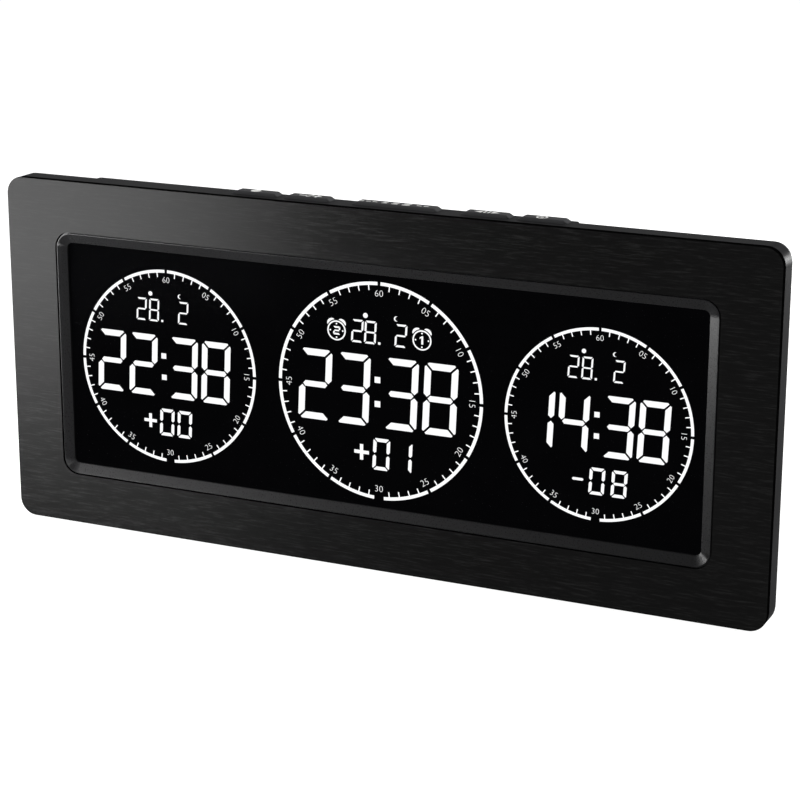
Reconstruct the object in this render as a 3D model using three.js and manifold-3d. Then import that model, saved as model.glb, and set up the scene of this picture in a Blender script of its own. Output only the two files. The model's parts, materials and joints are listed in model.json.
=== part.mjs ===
import * as THREE from 'three';
import { mergeVertices } from 'three/addons/utils/BufferGeometryUtils.js';
import Module from 'manifold-3d';

const wasm = await Module();
wasm.setup();

// Driving sizes in millimetres: X across the face, Y from front to back, Z up.
const FACE_W = 360;
const FACE_H = 160;
const DEPTH = 28;
const CORNER_R = 8;
const FOOT_PROUD = 0.8;

// Clearance of moving fits, film between stacked faces, broken edge of the mouldings.
const CLEAR = 0.3;
const FILM = 0.1;
const EDGE = 0.3;

// Joined shapes reach into each other by LAP, and a cut runs past the face by OVERCUT.
const LAP = 0.5;
const OVERCUT = 1;

// Face plate: brushed sheet with a window cut-out.
const PLATE_T = 1.0;
const PLATE_CHAMFER = 0.25;
const SIDE_BORDER = 29.6;
const END_BORDER = 28.3;
const WINDOW_W = FACE_W - 2 * SIDE_BORDER;
const WINDOW_H = FACE_H - 2 * END_BORDER;
const WINDOW_R = 2.6;
const BEVEL_RUN = 4.5;
const BEVEL_FRONT = 0.25;
const BEVEL_LAND = 0.35;
const BEVEL_OVERCUT = 0.2;
const RECESS = 2.0;
const WINDOW_GROOVE = 0.5;

// Front case: wall, front flange and the ledge that carries the keys.
const SLAB = 12;
const CASE_WALL = 2.4;
const FLANGE_BACK = 3.0;
const SHADOW_GAP_IN = 1.2;
const SHADOW_GAP_END = 2.3;
const LEDGE_END_IN = 40;
const LEDGE_HALF = FACE_W / 2 - LEDGE_END_IN;
const LEDGE_BACK = 14.8;
const LEDGE_LAP = 3;
const LEDGE_R = 1.5;
const LEDGE_PAST_KEYS = 3;

// Keys on the top wall: sloped cap, shaft, flange under the wall and stem.
const KEY_CENTRE = 9.2;
const KEY_SMALL_W = 22;
const KEY_WIDE_W = 39.5;
const KEY_INNER = 41.2;
const KEY_OUTER = 66.6;
const KEY_FRONT = 6.9;
const KEY_BACK = 13.7;
const KEY_RISE = 1.35;
const KEY_TRAVEL = 0.8;
const KEY_R = 0.8;
const KEY_HOLE_R = 0.9;
const KEY_END_SLOPE = 1.9;
const KEY_SIDE_SLOPE = 0.3;
const KEY_SHOULDER_R = 0.6;
const KEY_TOP_R = 0.4;
const KEY_TOP_BREAK = 0.3;
const KEY_TOP_DROP = 0.15;
const KEY_SKIRT = 0.1;
const KEY_ROOT = 1.2;
const KEY_FLANGE = 0.9;
const KEY_FLANGE_T = 1.4;
const KEY_FLANGE_R = 0.9;
const KEY_STEM_W = 4;
const KEY_STEM_D = 2.4;
const KEY_STEM_GAP = 0.2;
const KEY_STEM_LAP = 1;

// Key board, its posts and the push switches.
const KEY_BOARD_DROP = 10.4;
const KEY_BOARD_FRONT_OUT = 0.4;
const KEY_BOARD_BACK_IN = 0.6;
const KEY_BOARD_PAST = 5;
const KEY_POST_OUT = 18;
const KEY_POST_R = 2.6;
const KEY_SCREW_L = 6;
const SWITCH_W = 6;
const SWITCH_H = 3.5;
const SWITCH_STAND = 4.6;
const PLUNGER_R = 1.7;

// Display stack from the window inwards.
const LENS_T = 1.5;
const LENS_LAP = 3;
const STACK_R = 1.5;
const GLASS_T = 1.1;
const GLASS_IN = 1;
const LCD_LEDGE = 3.2;
const GUIDE_T = 3;
const GUIDE_GAP = 0.2;
const GUIDE_BOTTOM_IN = 1;
const REFLECTOR_T = 0.4;
const REFLECTOR_IN = 0.6;
const LED_BAR_W = 5;
const LED_BAR_IN = 4;
const CARRIER_WALL = 4.6;
const CARRIER_LIP = 9;
const CARRIER_FLOOR = 0.7;
const FLEX_W = 40;
const FLEX_T = 0.3;
const FLEX_IN = 18;
const FLEX_ROOM = 1;
const FLEX_GAP = 0.4;
const FLEX_TAIL = 9;

// Case screws and the posts that take them; small screws hold the boards.
const BOSS_R = 3.5;
const BOSS_IN = 16.6;
const BOSS_EDGE_Z = 14.5;
const BOSS_RIB_T = 1.4;
const BOSS_RIB_SHORT = 2;
const SCREW_R = 1.3;
const SCREW_HEAD_R = 2.8;
const SCREW_HEAD_T = 1.7;
const SCREW_TIP_IN = 1.6;
const SCREW_HEAD_LAP = 0.4;
const CROSS_W = 0.7;
const SMALL_HEAD_R = 2.4;
const SMALL_HEAD_T = 1.4;

// Rear cover: back plate, deep middle body and the pads that press the display home.
const COVER_PLATE_T = 2;
const COVER_WALL = 2.2;
const COVER_INSET = 0.4;
const COVER_EDGE = 0.6;
const COVER_TOP_DROP = 1.2;
const COVER_RIM_R = 1;
const BULGE_SLOPE_DROP = 30;
const BULGE_REAR_IN = 4;
const BULGE_R = 6;
const BULGE_EDGE = 1.2;
const BULGE_EDGE_R = 5;
const BULGE_INNER_R = 4;
const PAD_OUT = 9;
const PAD_UP = 34;
const PAD_W = 6;
const PAD_H = 16;

// Hanging slots: round entry, narrow neck above it, room for a screw head behind.
const HANG_IN = 40;
const HANG_HEAD_R = 4.6;
const HANG_HEAD_DROP = 2.8;
const HANG_NECK = 4.8;
const HANG_NECK_UP = 6.6;
const HANG_DEEP = 7;
const HANG_ROOM_SIDE = 6.3;
const HANG_ROOM_DOWN = 7.6;
const HANG_ROOM_UP = 10.6;
const HANG_END_WALL = 2.4;

// Batteries, their bay and its door.
const CELL_R = 5.25;
const CELL_L = 43.5;
const CELL_EDGE = 0.5;
const CELL_NUB_L = 1;
const CELL_NUB_R = 1.9;
const CELL_NUB_TIP_R = 1.8;
const CELL_PITCH = 11.3;
const BAY_IN = 50;
const BAY_BELOW = 11.8;
const BAY_WALL = 1.6;
const BAY_X = LEDGE_HALF - BAY_IN;
const BAY_Z = FOOT_PROUD + FACE_H / 2 - BAY_BELOW;
const DOOR_T = 1.7;
const DOOR_R = 2;
const DOOR_LIP = 2;
const DOOR_PLAY = 1;
const DOOR_SPARE_W = 8;
const DOOR_SPARE_H = 6;
const DOOR_SUNK = 0.1;
const LATCH_W = 16;
const LATCH_H = 6;
const LATCH_R = 1.5;
const LATCH_DOWN = 5;
const LATCH_DEEP = 0.8;
const GRIP_RIBS = 4;
const GRIP_PITCH = 1.2;
const GRIP_DOWN = 6.8;
const GRIP_W = 12;
const GRIP_T = 0.6;
const GRIP_ROOT = 1;
const GRIP_SUNK = 0.3;
const CONTACT_T = 0.5;
const CONTACT_HALF = 4;
const SPRING_L = 4;
const SPRING_COILS = 4;
const SPRING_R = 3.4;
const SPRING_TAPER = 1.2;
const SPRING_END = 0.35;
const WIRE_R = 0.28;

// Fold-out stand.
const STAND_W = 62;
const STAND_T = 4;
const STAND_R = 3;
const STAND_EDGE = 0.5;
const STAND_EDGE_R = 2.6;
const STAND_RAIL = 15;
const STAND_BRIDGE = 23;
const STAND_CUT_DOWN = 2;
const STAND_SUNK = 0.4;
const STAND_KNUCKLE = 0.2;
const STAND_PIN_R = 1.5;
const STAND_PIN_SEAT = 2.2;
const STAND_PIN_ROOM = 0.4;
const STAND_PIN_DROP = 47.8;
const STAND_TIP_UP = 13.2;
const STAND_PIN_Z = FOOT_PROUD + FACE_H - STAND_PIN_DROP;
const STAND_L = FACE_H - STAND_PIN_DROP - STAND_TIP_UP;
const STAND_FLOOR = 5.2;
const STAND_HEEL = 4;
const STAND_HEEL_IN = 6;
const STAND_TRIM = 1;
const STAND_SIDE_GAP = 1;
const STAND_END_GAP = 1.2;
const STAND_BLOCK = 4;
const NOTCH_R = 5.2;
const NOTCH_HALF = 11;
const NOTCH_OUT = 2;

// Boards and what they carry.
const BOARD_T = 1.6;
const BOARD_W = 84;
const BOARD_H = 88;
const BOARD_END_IN = 12;
const BOARD_UP = 11.2;
const BOARD_X0 = -LEDGE_HALF + BOARD_END_IN;
const BOARD_X1 = BOARD_X0 + BOARD_W;
const BOARD_Z0 = FOOT_PROUD + BOARD_UP;
const BOARD_Z1 = BOARD_Z0 + BOARD_H;
const BOARD_FRONT = 15;
const BOARD_SCREW_L = 5;
const POST_R = 3;
const POST_LEFT_IN = 7;
const POST_RIGHT_IN = 6;
const POST_END_IN = 5;
const DOME_X = 12;
const DOME_UP = 14;
const DOME_R = 7;
const DOME_SHOULDER_R = 5.8;
const DOME_SHOULDER_T = 0.9;
const DOME_TOP_R = 3.2;
const DOME_T = 1.5;
const CRYSTAL_X = 14;
const CRYSTAL_UP = 14;
const CRYSTAL_W = 10.2;
const CRYSTAL_H = 4;
const CRYSTAL_R = 1.9;
const CRYSTAL_T = 2;
const CAPACITOR_X = 24;
const CAPACITOR_UP = 34;
const CAPACITOR_R = 3.1;
const CAPACITOR_L = 7;
const BUZZER_R = 12;
const BUZZER_L = 5.2;
const BUZZER_WALL = 1.4;
const BUZZER_WELL = 1.2;
const BUZZER_UP = 2;
const BUZZER_X = BOARD_X0 + BOARD_W / 2;
const BUZZER_Z = BOARD_Z0 + BOARD_H / 2 + BUZZER_UP;
const SLOT_PITCH = 4.2;
const SLOT_W = 1.8;
const SLOT_R = 0.85;
const SLOT_HALVES = [8, 7, 5];
const SOCKET_UP = 18;
const SOCKET_HALF = 4.5;
const SOCKET_L = 13.5;
const SOCKET_HOLE_R = 3.6;
const SOCKET_BORE_R = 2.8;
const SOCKET_BORE_L = 9.5;
const SOCKET_PIN_R = 1;
const SOCKET_PIN_IN = 1;
const SOCKET_Z = BOARD_Z0 + SOCKET_UP;

// Rubber feet.
const FOOT_R = 4;
const FOOT_SEAT = 0.8;
const FOOT_END_IN = 18;
const FOOT_WALL = 0.5;
const FOOT_BACK_IN = 6.5;

// Places that follow from the sizes above; "d" is the depth behind the front face.
const Z0 = FOOT_PROUD;
const ZT = FOOT_PROUD + FACE_H;
const ZC = FOOT_PROUD + FACE_H / 2;
const BACK_IN = DEPTH - COVER_WALL;
const COVER_FRONT = SLAB + CLEAR;
const COVER_PLATE_BACK = COVER_FRONT + COVER_PLATE_T;
const COVER_TOP_START = LEDGE_BACK + CLEAR;
const COVER_RIM_BACK = COVER_TOP_START + COVER_WALL;
const LEDGE_LEFT = -LEDGE_HALF;
const LEDGE_RIGHT = KEY_CENTRE + KEY_OUTER + KEY_SMALL_W / 2 + LEDGE_PAST_KEYS;
const KEY_UNDER = ZT - CASE_WALL - CLEAR;
const yAt = (d) => d - DEPTH / 2;

// Points of a rounded rectangle, counter-clockwise, n steps per corner.
function roundRect(w, h, r, cu = 0, cv = 0, n = 6) {
  const pts = [];
  const corners = [[1, 1, 0], [-1, 1, 90], [-1, -1, 180], [1, -1, 270]];
  for (const [su, sv, a0] of corners) {
    for (let i = 0; i <= n; i++) {
      const a = (a0 + 90 * i / n) * Math.PI / 180;
      pts.push([cu + su * (w / 2 - r) + r * Math.cos(a), cv + sv * (h / 2 - r) + r * Math.sin(a)]);
    }
  }
  return pts;
}

// Points of a circle, n of them.
function circle(r, cu, cv, n = 24) {
  const pts = [];
  for (let i = 0; i < n; i++) {
    const a = 2 * Math.PI * i / n;
    pts.push([cu + r * Math.cos(a), cv + r * Math.sin(a)]);
  }
  return pts;
}

// A point of a section, given along X, Y (as depth d) or Z.
function place(axis, w, u, v) {
  if (axis === 'y') return [u, yAt(w), v];
  if (axis === 'z') return [u, yAt(v), w];
  return [w, yAt(u), v];
}

// Closed solid through convex sections [w, points] along one axis.
function loft(axis, sections) {
  const pos = [];
  const idx = [];
  const n = sections[0][1].length;
  for (const [w, pts] of sections) {
    for (const [u, v] of pts) pos.push(...place(axis, w, u, v));
  }
  for (let s = 0; s + 1 < sections.length; s++) {
    for (let i = 0; i < n; i++) {
      const a = s * n + i;
      const b = s * n + (i + 1) % n;
      idx.push(a, b, b + n, a, b + n, a + n);
    }
  }
  const last = (sections.length - 1) * n;
  for (let i = 1; i + 1 < n; i++) {
    idx.push(0, i + 1, i);
    idx.push(last, last + i, last + i + 1);
  }
  let vol = 0;
  const p = (k) => new THREE.Vector3(pos[3 * k], pos[3 * k + 1], pos[3 * k + 2]);
  for (let t = 0; t < idx.length; t += 3) {
    vol += p(idx[t]).dot(p(idx[t + 1]).cross(p(idx[t + 2])));
  }
  if (vol < 0) idx.reverse();
  const geo = new THREE.BufferGeometry();
  geo.setAttribute('position', new THREE.Float32BufferAttribute(pos, 3));
  geo.setIndex(idx);
  return solid(geo);
}

// A three.js geometry as a closed solid that can be joined and cut.
function solid(geometry) {
  const bare = geometry.clone();
  bare.deleteAttribute('normal');
  bare.deleteAttribute('uv');
  const g = mergeVertices(bare, 1e-4);
  const mesh = new wasm.Mesh({
    numProp: 3,
    vertProperties: new Float32Array(g.attributes.position.array),
    triVerts: new Uint32Array(g.index.array),
  });
  return new wasm.Manifold(mesh);
}

// Straight prism: one outline carried along an axis.
const prism = (axis, w0, w1, pts) => loft(axis, [[w0, pts], [w1, pts]]);

// Box between limits in X, depth and Z.
function box(x0, x1, d0, d1, z0, z1) {
  const g = new THREE.BoxGeometry(x1 - x0, d1 - d0, z1 - z0);
  g.translate((x0 + x1) / 2, yAt((d0 + d1) / 2), (z0 + z1) / 2);
  return solid(g);
}

// Box about a point in X and Z, by its half sides.
const block = (x, z, halfX, halfZ, d0, d1) => box(x - halfX, x + halfX, d0, d1, z - halfZ, z + halfZ);

const cylY = (x, z, r, d0, d1, n = 18) => prism('y', d0, d1, circle(r, x, z, n));
const cylZ = (x, d, r, z0, z1, n = 18) => prism('z', z0, z1, circle(r, x, d, n));
const cylX = (d, z, r, x0, x1, n = 24) => prism('x', x0, x1, circle(r, d, z, n));

// Materials by look; one fresh copy per part.
const LOOKS = {
  anodised: { color: 0x1a1b1d, metalness: 1, roughness: 0.4 },
  satinBlack: { color: 0x17181a, metalness: 0, roughness: 0.5 },
  keyBlack: { color: 0x1d1e20, metalness: 0, roughness: 0.45 },
  clear: { color: 0x101114, metalness: 0, roughness: 0.1 },
  glass: { color: 0x15171a, metalness: 0, roughness: 0.1 },
  whitePlastic: { color: 0xe8e8e4, metalness: 0, roughness: 0.6 },
  board: { color: 0x1f5a37, metalness: 0, roughness: 0.6 },
  film: { color: 0xc07a2c, metalness: 0, roughness: 0.5 },
  steel: { color: 0xa9abad, metalness: 1, roughness: 0.35 },
  darkSteel: { color: 0x3a3b3d, metalness: 1, roughness: 0.4 },
  cell: { color: 0x6f7478, metalness: 1, roughness: 0.4 },
  rubber: { color: 0x101010, metalness: 0, roughness: 0.9 },
  epoxy: { color: 0x0b0b0c, metalness: 0, roughness: 0.4 },
};

const group = new THREE.Group();
group.name = 'digital_alarm_clock';

// A finished solid as a named mesh of the group.
function add(name, body, look) {
  const m = body.getMesh();
  const geo = new THREE.BufferGeometry();
  geo.setAttribute('position', new THREE.Float32BufferAttribute(m.vertProperties, 3));
  geo.setIndex(Array.from(m.triVerts));
  const mesh = new THREE.Mesh(geo, new THREE.MeshStandardMaterial(LOOKS[look]));
  mesh.name = name;
  group.add(mesh);
}

const facePts = (inset) => roundRect(FACE_W - 2 * inset, FACE_H - 2 * inset, CORNER_R - inset, 0, ZC, 8);
const windowPts = (out) => roundRect(WINDOW_W + 2 * out, WINDOW_H + 2 * out, WINDOW_R + out, 0, ZC, 6);

// Face plate: thin sheet, edges broken, cut out round the window surround.
{
  const outer = loft('y', [
    [0, facePts(PLATE_CHAMFER)],
    [PLATE_CHAMFER, facePts(0)],
    [PLATE_T, facePts(0)],
  ]);
  const cut = prism('y', -OVERCUT, PLATE_T + OVERCUT, windowPts(BEVEL_RUN + WINDOW_GROOVE));
  add('face_plate', outer.subtract(cut), 'anodised');
}

// Keys along the top wall: centre and width of each.
const KEYS = [
  ['outer_left_key', KEY_CENTRE - KEY_OUTER, KEY_SMALL_W],
  ['inner_left_key', KEY_CENTRE - KEY_INNER, KEY_SMALL_W],
  ['snooze_bar', KEY_CENTRE, KEY_WIDE_W],
  ['inner_right_key', KEY_CENTRE + KEY_INNER, KEY_SMALL_W],
  ['outer_right_key', KEY_CENTRE + KEY_OUTER, KEY_SMALL_W],
];
const KEY_D = (KEY_FRONT + KEY_BACK) / 2;
const KEY_DEEP = KEY_BACK - KEY_FRONT;
const KEY_BOARD_TOP = ZT - CASE_WALL - KEY_BOARD_DROP;
const KEY_POSTS = [KEY_CENTRE - KEY_OUTER - KEY_POST_OUT, KEY_CENTRE + KEY_OUTER + KEY_POST_OUT];
const KEY_POST_D = SLAB - KEY_POST_R - CLEAR;

// Places of the case screws and of the feet.
const BOSSES = [];
for (const x of [-FACE_W / 2 + BOSS_IN, FACE_W / 2 - BOSS_IN]) {
  for (const z of [Z0 + BOSS_EDGE_Z, ZC, ZT - BOSS_EDGE_Z]) BOSSES.push([x, z]);
}
const FOOT_FRONT_D = SLAB - FOOT_WALL - CLEAR - FOOT_R;
const FEET = [];
for (const x of [-LEDGE_HALF + FOOT_END_IN, LEDGE_HALF - FOOT_END_IN]) {
  for (const d of [FOOT_FRONT_D, DEPTH - FOOT_BACK_IN]) FEET.push([x, d]);
}
const footPocket = ([x, d]) => cylZ(x, d, FOOT_R + CLEAR, Z0 - OVERCUT, Z0 + FOOT_SEAT);

// Front case: flange with the sloped window surround, wall, key ledge and screw posts.
{
  let body = loft('y', [
    [PLATE_T + FILM, facePts(SHADOW_GAP_IN)],
    [SHADOW_GAP_END, facePts(SHADOW_GAP_IN)],
    [SHADOW_GAP_END, facePts(EDGE)],
    [SHADOW_GAP_END + EDGE, facePts(0)],
    [SLAB - EDGE, facePts(0)],
    [SLAB, facePts(EDGE)],
  ]);
  body = body.add(prism('y', BEVEL_FRONT, FLANGE_BACK - LAP, windowPts(BEVEL_RUN)));
  body = body.subtract(prism('y', FLANGE_BACK, SLAB + OVERCUT, facePts(CASE_WALL)));
  const slope = (BEVEL_RUN - BEVEL_LAND) / (RECESS - BEVEL_FRONT);
  body = body.subtract(loft('y', [
    [BEVEL_FRONT - BEVEL_OVERCUT, windowPts(BEVEL_RUN - BEVEL_LAND + BEVEL_OVERCUT * slope)],
    [RECESS, windowPts(0)],
    [FLANGE_BACK + OVERCUT, windowPts(0)],
  ]));
  const ledgeDeep = LEDGE_BACK - SLAB + LEDGE_LAP;
  const ledge = (inset) => roundRect(
    LEDGE_RIGHT - LEDGE_LEFT - 2 * inset, ledgeDeep - 2 * inset, LEDGE_R - inset,
    (LEDGE_LEFT + LEDGE_RIGHT) / 2, LEDGE_BACK - ledgeDeep / 2, 3,
  );
  body = body.add(loft('z', [[ZT - CASE_WALL, ledge(0)], [ZT - EDGE, ledge(0)], [ZT, ledge(EDGE)]]));
  for (const [, x, w] of KEYS) {
    const hole = roundRect(w + 2 * CLEAR, KEY_DEEP + 2 * CLEAR, KEY_HOLE_R, x, KEY_D, 3);
    body = body.subtract(prism('z', ZT - CASE_WALL - OVERCUT, ZT + OVERCUT, hole));
  }
  for (const [x, z] of BOSSES) {
    const wall = Math.sign(x) * (FACE_W / 2 - CASE_WALL / 2);
    const [x0, x1] = x < wall ? [x, wall] : [wall, x];
    const ribHalf = BOSS_RIB_T / 2;
    body = body.add(cylY(x, z, BOSS_R, FLANGE_BACK - LAP, SLAB));
    body = body.add(box(x0, x1, FLANGE_BACK - LAP, SLAB - BOSS_RIB_SHORT, z - ribHalf, z + ribHalf));
    body = body.subtract(cylY(x, z, SCREW_R + CLEAR, FLANGE_BACK + OVERCUT, SLAB + OVERCUT));
  }
  for (const x of KEY_POSTS) {
    const boreEnd = ZT - CASE_WALL - OVERCUT;
    body = body.add(cylZ(x, KEY_POST_D, KEY_POST_R, KEY_BOARD_TOP, ZT - CASE_WALL / 2));
    body = body.subtract(cylZ(x, KEY_POST_D, SCREW_R + CLEAR, KEY_BOARD_TOP - OVERCUT, boreEnd));
  }
  for (const foot of FEET) {
    if (foot[1] < SLAB) body = body.subtract(footPocket(foot));
  }
  add('front_case', body, 'satinBlack');
}

// Keys: sloped cap, retaining flange under the wall and a stem towards the switch.
const SWITCH_TOP = KEY_BOARD_TOP + SWITCH_STAND;
for (const [name, x, w] of KEYS) {
  const cap = (dw, dd, r) => roundRect(w - 2 * dw, KEY_DEEP - 2 * dd, r, x, KEY_D, 3);
  const flange = roundRect(w + 2 * KEY_FLANGE, KEY_DEEP + 2 * KEY_FLANGE, KEY_FLANGE_R, x, KEY_D, 3);
  const stemHalf = KEY_STEM_D / 2;
  let body = loft('z', [
    [KEY_UNDER - KEY_ROOT, cap(0, 0, KEY_R)],
    [ZT + KEY_SKIRT, cap(0, 0, KEY_R)],
    [ZT + KEY_RISE - KEY_TOP_DROP, cap(KEY_END_SLOPE, KEY_SIDE_SLOPE, KEY_SHOULDER_R)],
    [ZT + KEY_RISE, cap(KEY_END_SLOPE + KEY_TOP_BREAK, KEY_SIDE_SLOPE + KEY_TOP_BREAK, KEY_TOP_R)],
  ]);
  body = body.add(prism('z', KEY_UNDER - KEY_FLANGE_T, KEY_UNDER, flange));
  body = body.add(box(
    x - KEY_STEM_W / 2, x + KEY_STEM_W / 2, KEY_D - stemHalf, KEY_D + stemHalf,
    SWITCH_TOP + KEY_TRAVEL + KEY_STEM_GAP, KEY_UNDER - KEY_STEM_LAP,
  ));
  add(name, body, 'keyBlack');
}

// Key board with one push switch under each key.
{
  const top = KEY_BOARD_TOP - FILM;
  const under = top - BOARD_T;
  const switchHalf = SWITCH_W / 2;
  const shoulder = KEY_BOARD_TOP + SWITCH_H;
  let board = box(
    KEY_POSTS[0] - KEY_BOARD_PAST, KEY_POSTS[1] + KEY_BOARD_PAST,
    KEY_FRONT - KEY_BOARD_FRONT_OUT, LEDGE_BACK - KEY_BOARD_BACK_IN, under, top,
  );
  for (const x of KEY_POSTS) {
    board = board.subtract(cylZ(x, KEY_POST_D, SCREW_R + CLEAR, under - OVERCUT, top + OVERCUT));
  }
  add('key_board', board, 'board');
  KEYS.forEach(([, x], i) => {
    let body = box(
      x - switchHalf, x + switchHalf, KEY_D - switchHalf, KEY_D + switchHalf, KEY_BOARD_TOP, shoulder,
    );
    body = body.add(cylZ(x, KEY_D, PLUNGER_R, shoulder - LAP, SWITCH_TOP, 16));
    add(`push_switch_${i + 1}`, body, 'epoxy');
  });
  KEY_POSTS.forEach((x, i) => {
    const seat = under - FILM;
    let body = cylZ(x, KEY_POST_D, SMALL_HEAD_R, seat - SMALL_HEAD_T, seat, 16);
    body = body.add(cylZ(x, KEY_POST_D, SCREW_R, under - LAP, KEY_BOARD_TOP + KEY_SCREW_L, 16));
    add(`key_board_screw_${i + 1}`, body, 'steel');
  });
}

// Display stack: window, two glass plates, light guide, reflector and side light bars.
const LENS_FRONT = FLANGE_BACK + FILM;
const LCD_FRONT = LENS_FRONT + LENS_T + FILM;
const LCD_REAR = LCD_FRONT + GLASS_T + FILM;
const GUIDE_FRONT = LCD_REAR + GLASS_T + GUIDE_GAP;
const GUIDE_BACK = GUIDE_FRONT + GUIDE_T;
const REFLECTOR_FRONT = GUIDE_BACK + FILM;
const REFLECTOR_BACK = REFLECTOR_FRONT + REFLECTOR_T;
const CARRIER_IN = REFLECTOR_BACK + FILM;
const CARRIER_BACK = CARRIER_IN + CARRIER_FLOOR;
const STACK_W = WINDOW_W + 2 * LENS_LAP;
const STACK_H = WINDOW_H + 2 * LENS_LAP;
const STACK_X = STACK_W / 2;
const STACK_TOP = ZC + STACK_H / 2;
const STACK_BOT = ZC - STACK_H / 2;
const GUIDE_X = STACK_X - GLASS_IN / 2 - LED_BAR_W - CLEAR;
const GUIDE_BOT = STACK_BOT + GUIDE_BOTTOM_IN;
const GUIDE_TOP = STACK_TOP - GLASS_IN / 2;
{
  const sheet = (w, h, t, front, cz) => prism('y', front, front + t, roundRect(w, h, STACK_R, 0, cz, 3));
  const glassW = STACK_W - GLASS_IN;
  const glassH = STACK_H - GLASS_IN;
  add('display_window', sheet(STACK_W, STACK_H, LENS_T, LENS_FRONT, ZC), 'clear');
  add('lcd_front_glass', sheet(glassW, glassH, GLASS_T, LCD_FRONT, ZC), 'glass');
  const rear = sheet(glassW, glassH + LCD_LEDGE, GLASS_T, LCD_REAR, ZC - LCD_LEDGE / 2);
  add('lcd_rear_glass', rear, 'glass');
  const guide = box(-GUIDE_X, GUIDE_X, GUIDE_FRONT, GUIDE_BACK, GUIDE_BOT, GUIDE_TOP);
  add('light_guide', guide, 'whitePlastic');
  const barIn = GUIDE_X + CLEAR;
  const barOut = barIn + LED_BAR_W;
  for (const [side, x0, x1] of [['left', -barOut, -barIn], ['right', barIn, barOut]]) {
    const bar = box(x0, x1, GUIDE_FRONT, GUIDE_BACK, STACK_BOT + LED_BAR_IN, STACK_TOP - LED_BAR_IN);
    add(`led_bar_${side}`, bar, 'whitePlastic');
  }
  const half = STACK_X - REFLECTOR_IN;
  const reflector = box(-half, half, REFLECTOR_FRONT, REFLECTOR_BACK, GUIDE_BOT, GUIDE_TOP);
  add('reflector_sheet', reflector, 'whitePlastic');
}

// Display carrier: tray round the stack, open at the back inside its lip.
const FLEX_X0 = BOARD_X0 + FLEX_IN;
const FLEX_X1 = FLEX_X0 + FLEX_W;
const POCKET_BOT = STACK_BOT + GLASS_IN / 2 - LCD_LEDGE - CLEAR;
{
  const top = STACK_TOP + CLEAR;
  const half = STACK_X + CLEAR;
  const outer = half + CARRIER_WALL;
  const open = half - CARRIER_LIP;
  const floor = [CARRIER_IN - OVERCUT, CARRIER_BACK + OVERCUT];
  let body = box(-outer, outer, LENS_FRONT, CARRIER_BACK, POCKET_BOT - CARRIER_WALL, top + CARRIER_WALL);
  body = body.subtract(box(-half, half, LENS_FRONT - OVERCUT, CARRIER_IN, POCKET_BOT, top));
  body = body.subtract(box(-open, open, ...floor, STACK_BOT + CARRIER_LIP, top - CARRIER_LIP));
  const slot = [FLEX_X0 - FLEX_ROOM, FLEX_X1 + FLEX_ROOM];
  body = body.subtract(box(...slot, ...floor, POCKET_BOT, STACK_BOT + FLEX_ROOM));
  add('display_carrier', body, 'whitePlastic');
}

// Flat flex from the contact ledge of the rear glass to the main board.
{
  const front = LCD_REAR + GLASS_T + FILM;
  const back = BOARD_FRONT - FILM;
  const z = POCKET_BOT + FLEX_GAP;
  let flex = box(FLEX_X0, FLEX_X1, front, front + FLEX_T, z, STACK_BOT + FLEX_GAP);
  flex = flex.add(box(FLEX_X0, FLEX_X1, front, back, z, z + FLEX_T));
  flex = flex.add(box(FLEX_X0, FLEX_X1, back - FLEX_T, back, z, z + FLEX_TAIL));
  add('display_flex', flex, 'film');
}

// Rear cover: back plate, deep middle body, battery bay, stand recess, hanger slots and posts.
const DOOR_W = CELL_L + CELL_NUB_L + SPRING_L + 2 * CONTACT_T + DOOR_SPARE_W;
const DOOR_H = 3 * CELL_PITCH + DOOR_SPARE_H;
const BAY_W = DOOR_W - 2 * DOOR_LIP - DOOR_PLAY;
const BAY_H = DOOR_H - 2 * DOOR_LIP - DOOR_PLAY;
const DOOR_FRONT = DEPTH - DOOR_T;
const CELL_D = DOOR_FRONT - CLEAR - CELL_R;
const BAY_FLOOR = CELL_D - CELL_R - CLEAR;
const STAND_D = DEPTH - STAND_SUNK - STAND_T / 2 - STAND_KNUCKLE;
const STAND_IN = DEPTH - STAND_FLOOR;
const STAND_HALF = STAND_W / 2 + STAND_SIDE_GAP;
const STAND_TOP = STAND_PIN_Z + STAND_HEEL + STAND_END_GAP;
const STAND_BOT = STAND_PIN_Z - STAND_L - STAND_END_GAP;
const HANG_X = LEDGE_HALF - HANG_IN;
const HANG_Z = STAND_PIN_Z;
const POSTS = [];
for (const x of [BOARD_X0 + POST_LEFT_IN, BOARD_X1 - POST_RIGHT_IN]) {
  for (const z of [BOARD_Z0 + POST_END_IN, BOARD_Z1 - POST_END_IN]) POSTS.push([x, z]);
}
const BOARD_BACK = BOARD_FRONT + BOARD_T;
const SOCKET_D = BOARD_BACK + FILM + SOCKET_HALF;
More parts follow.
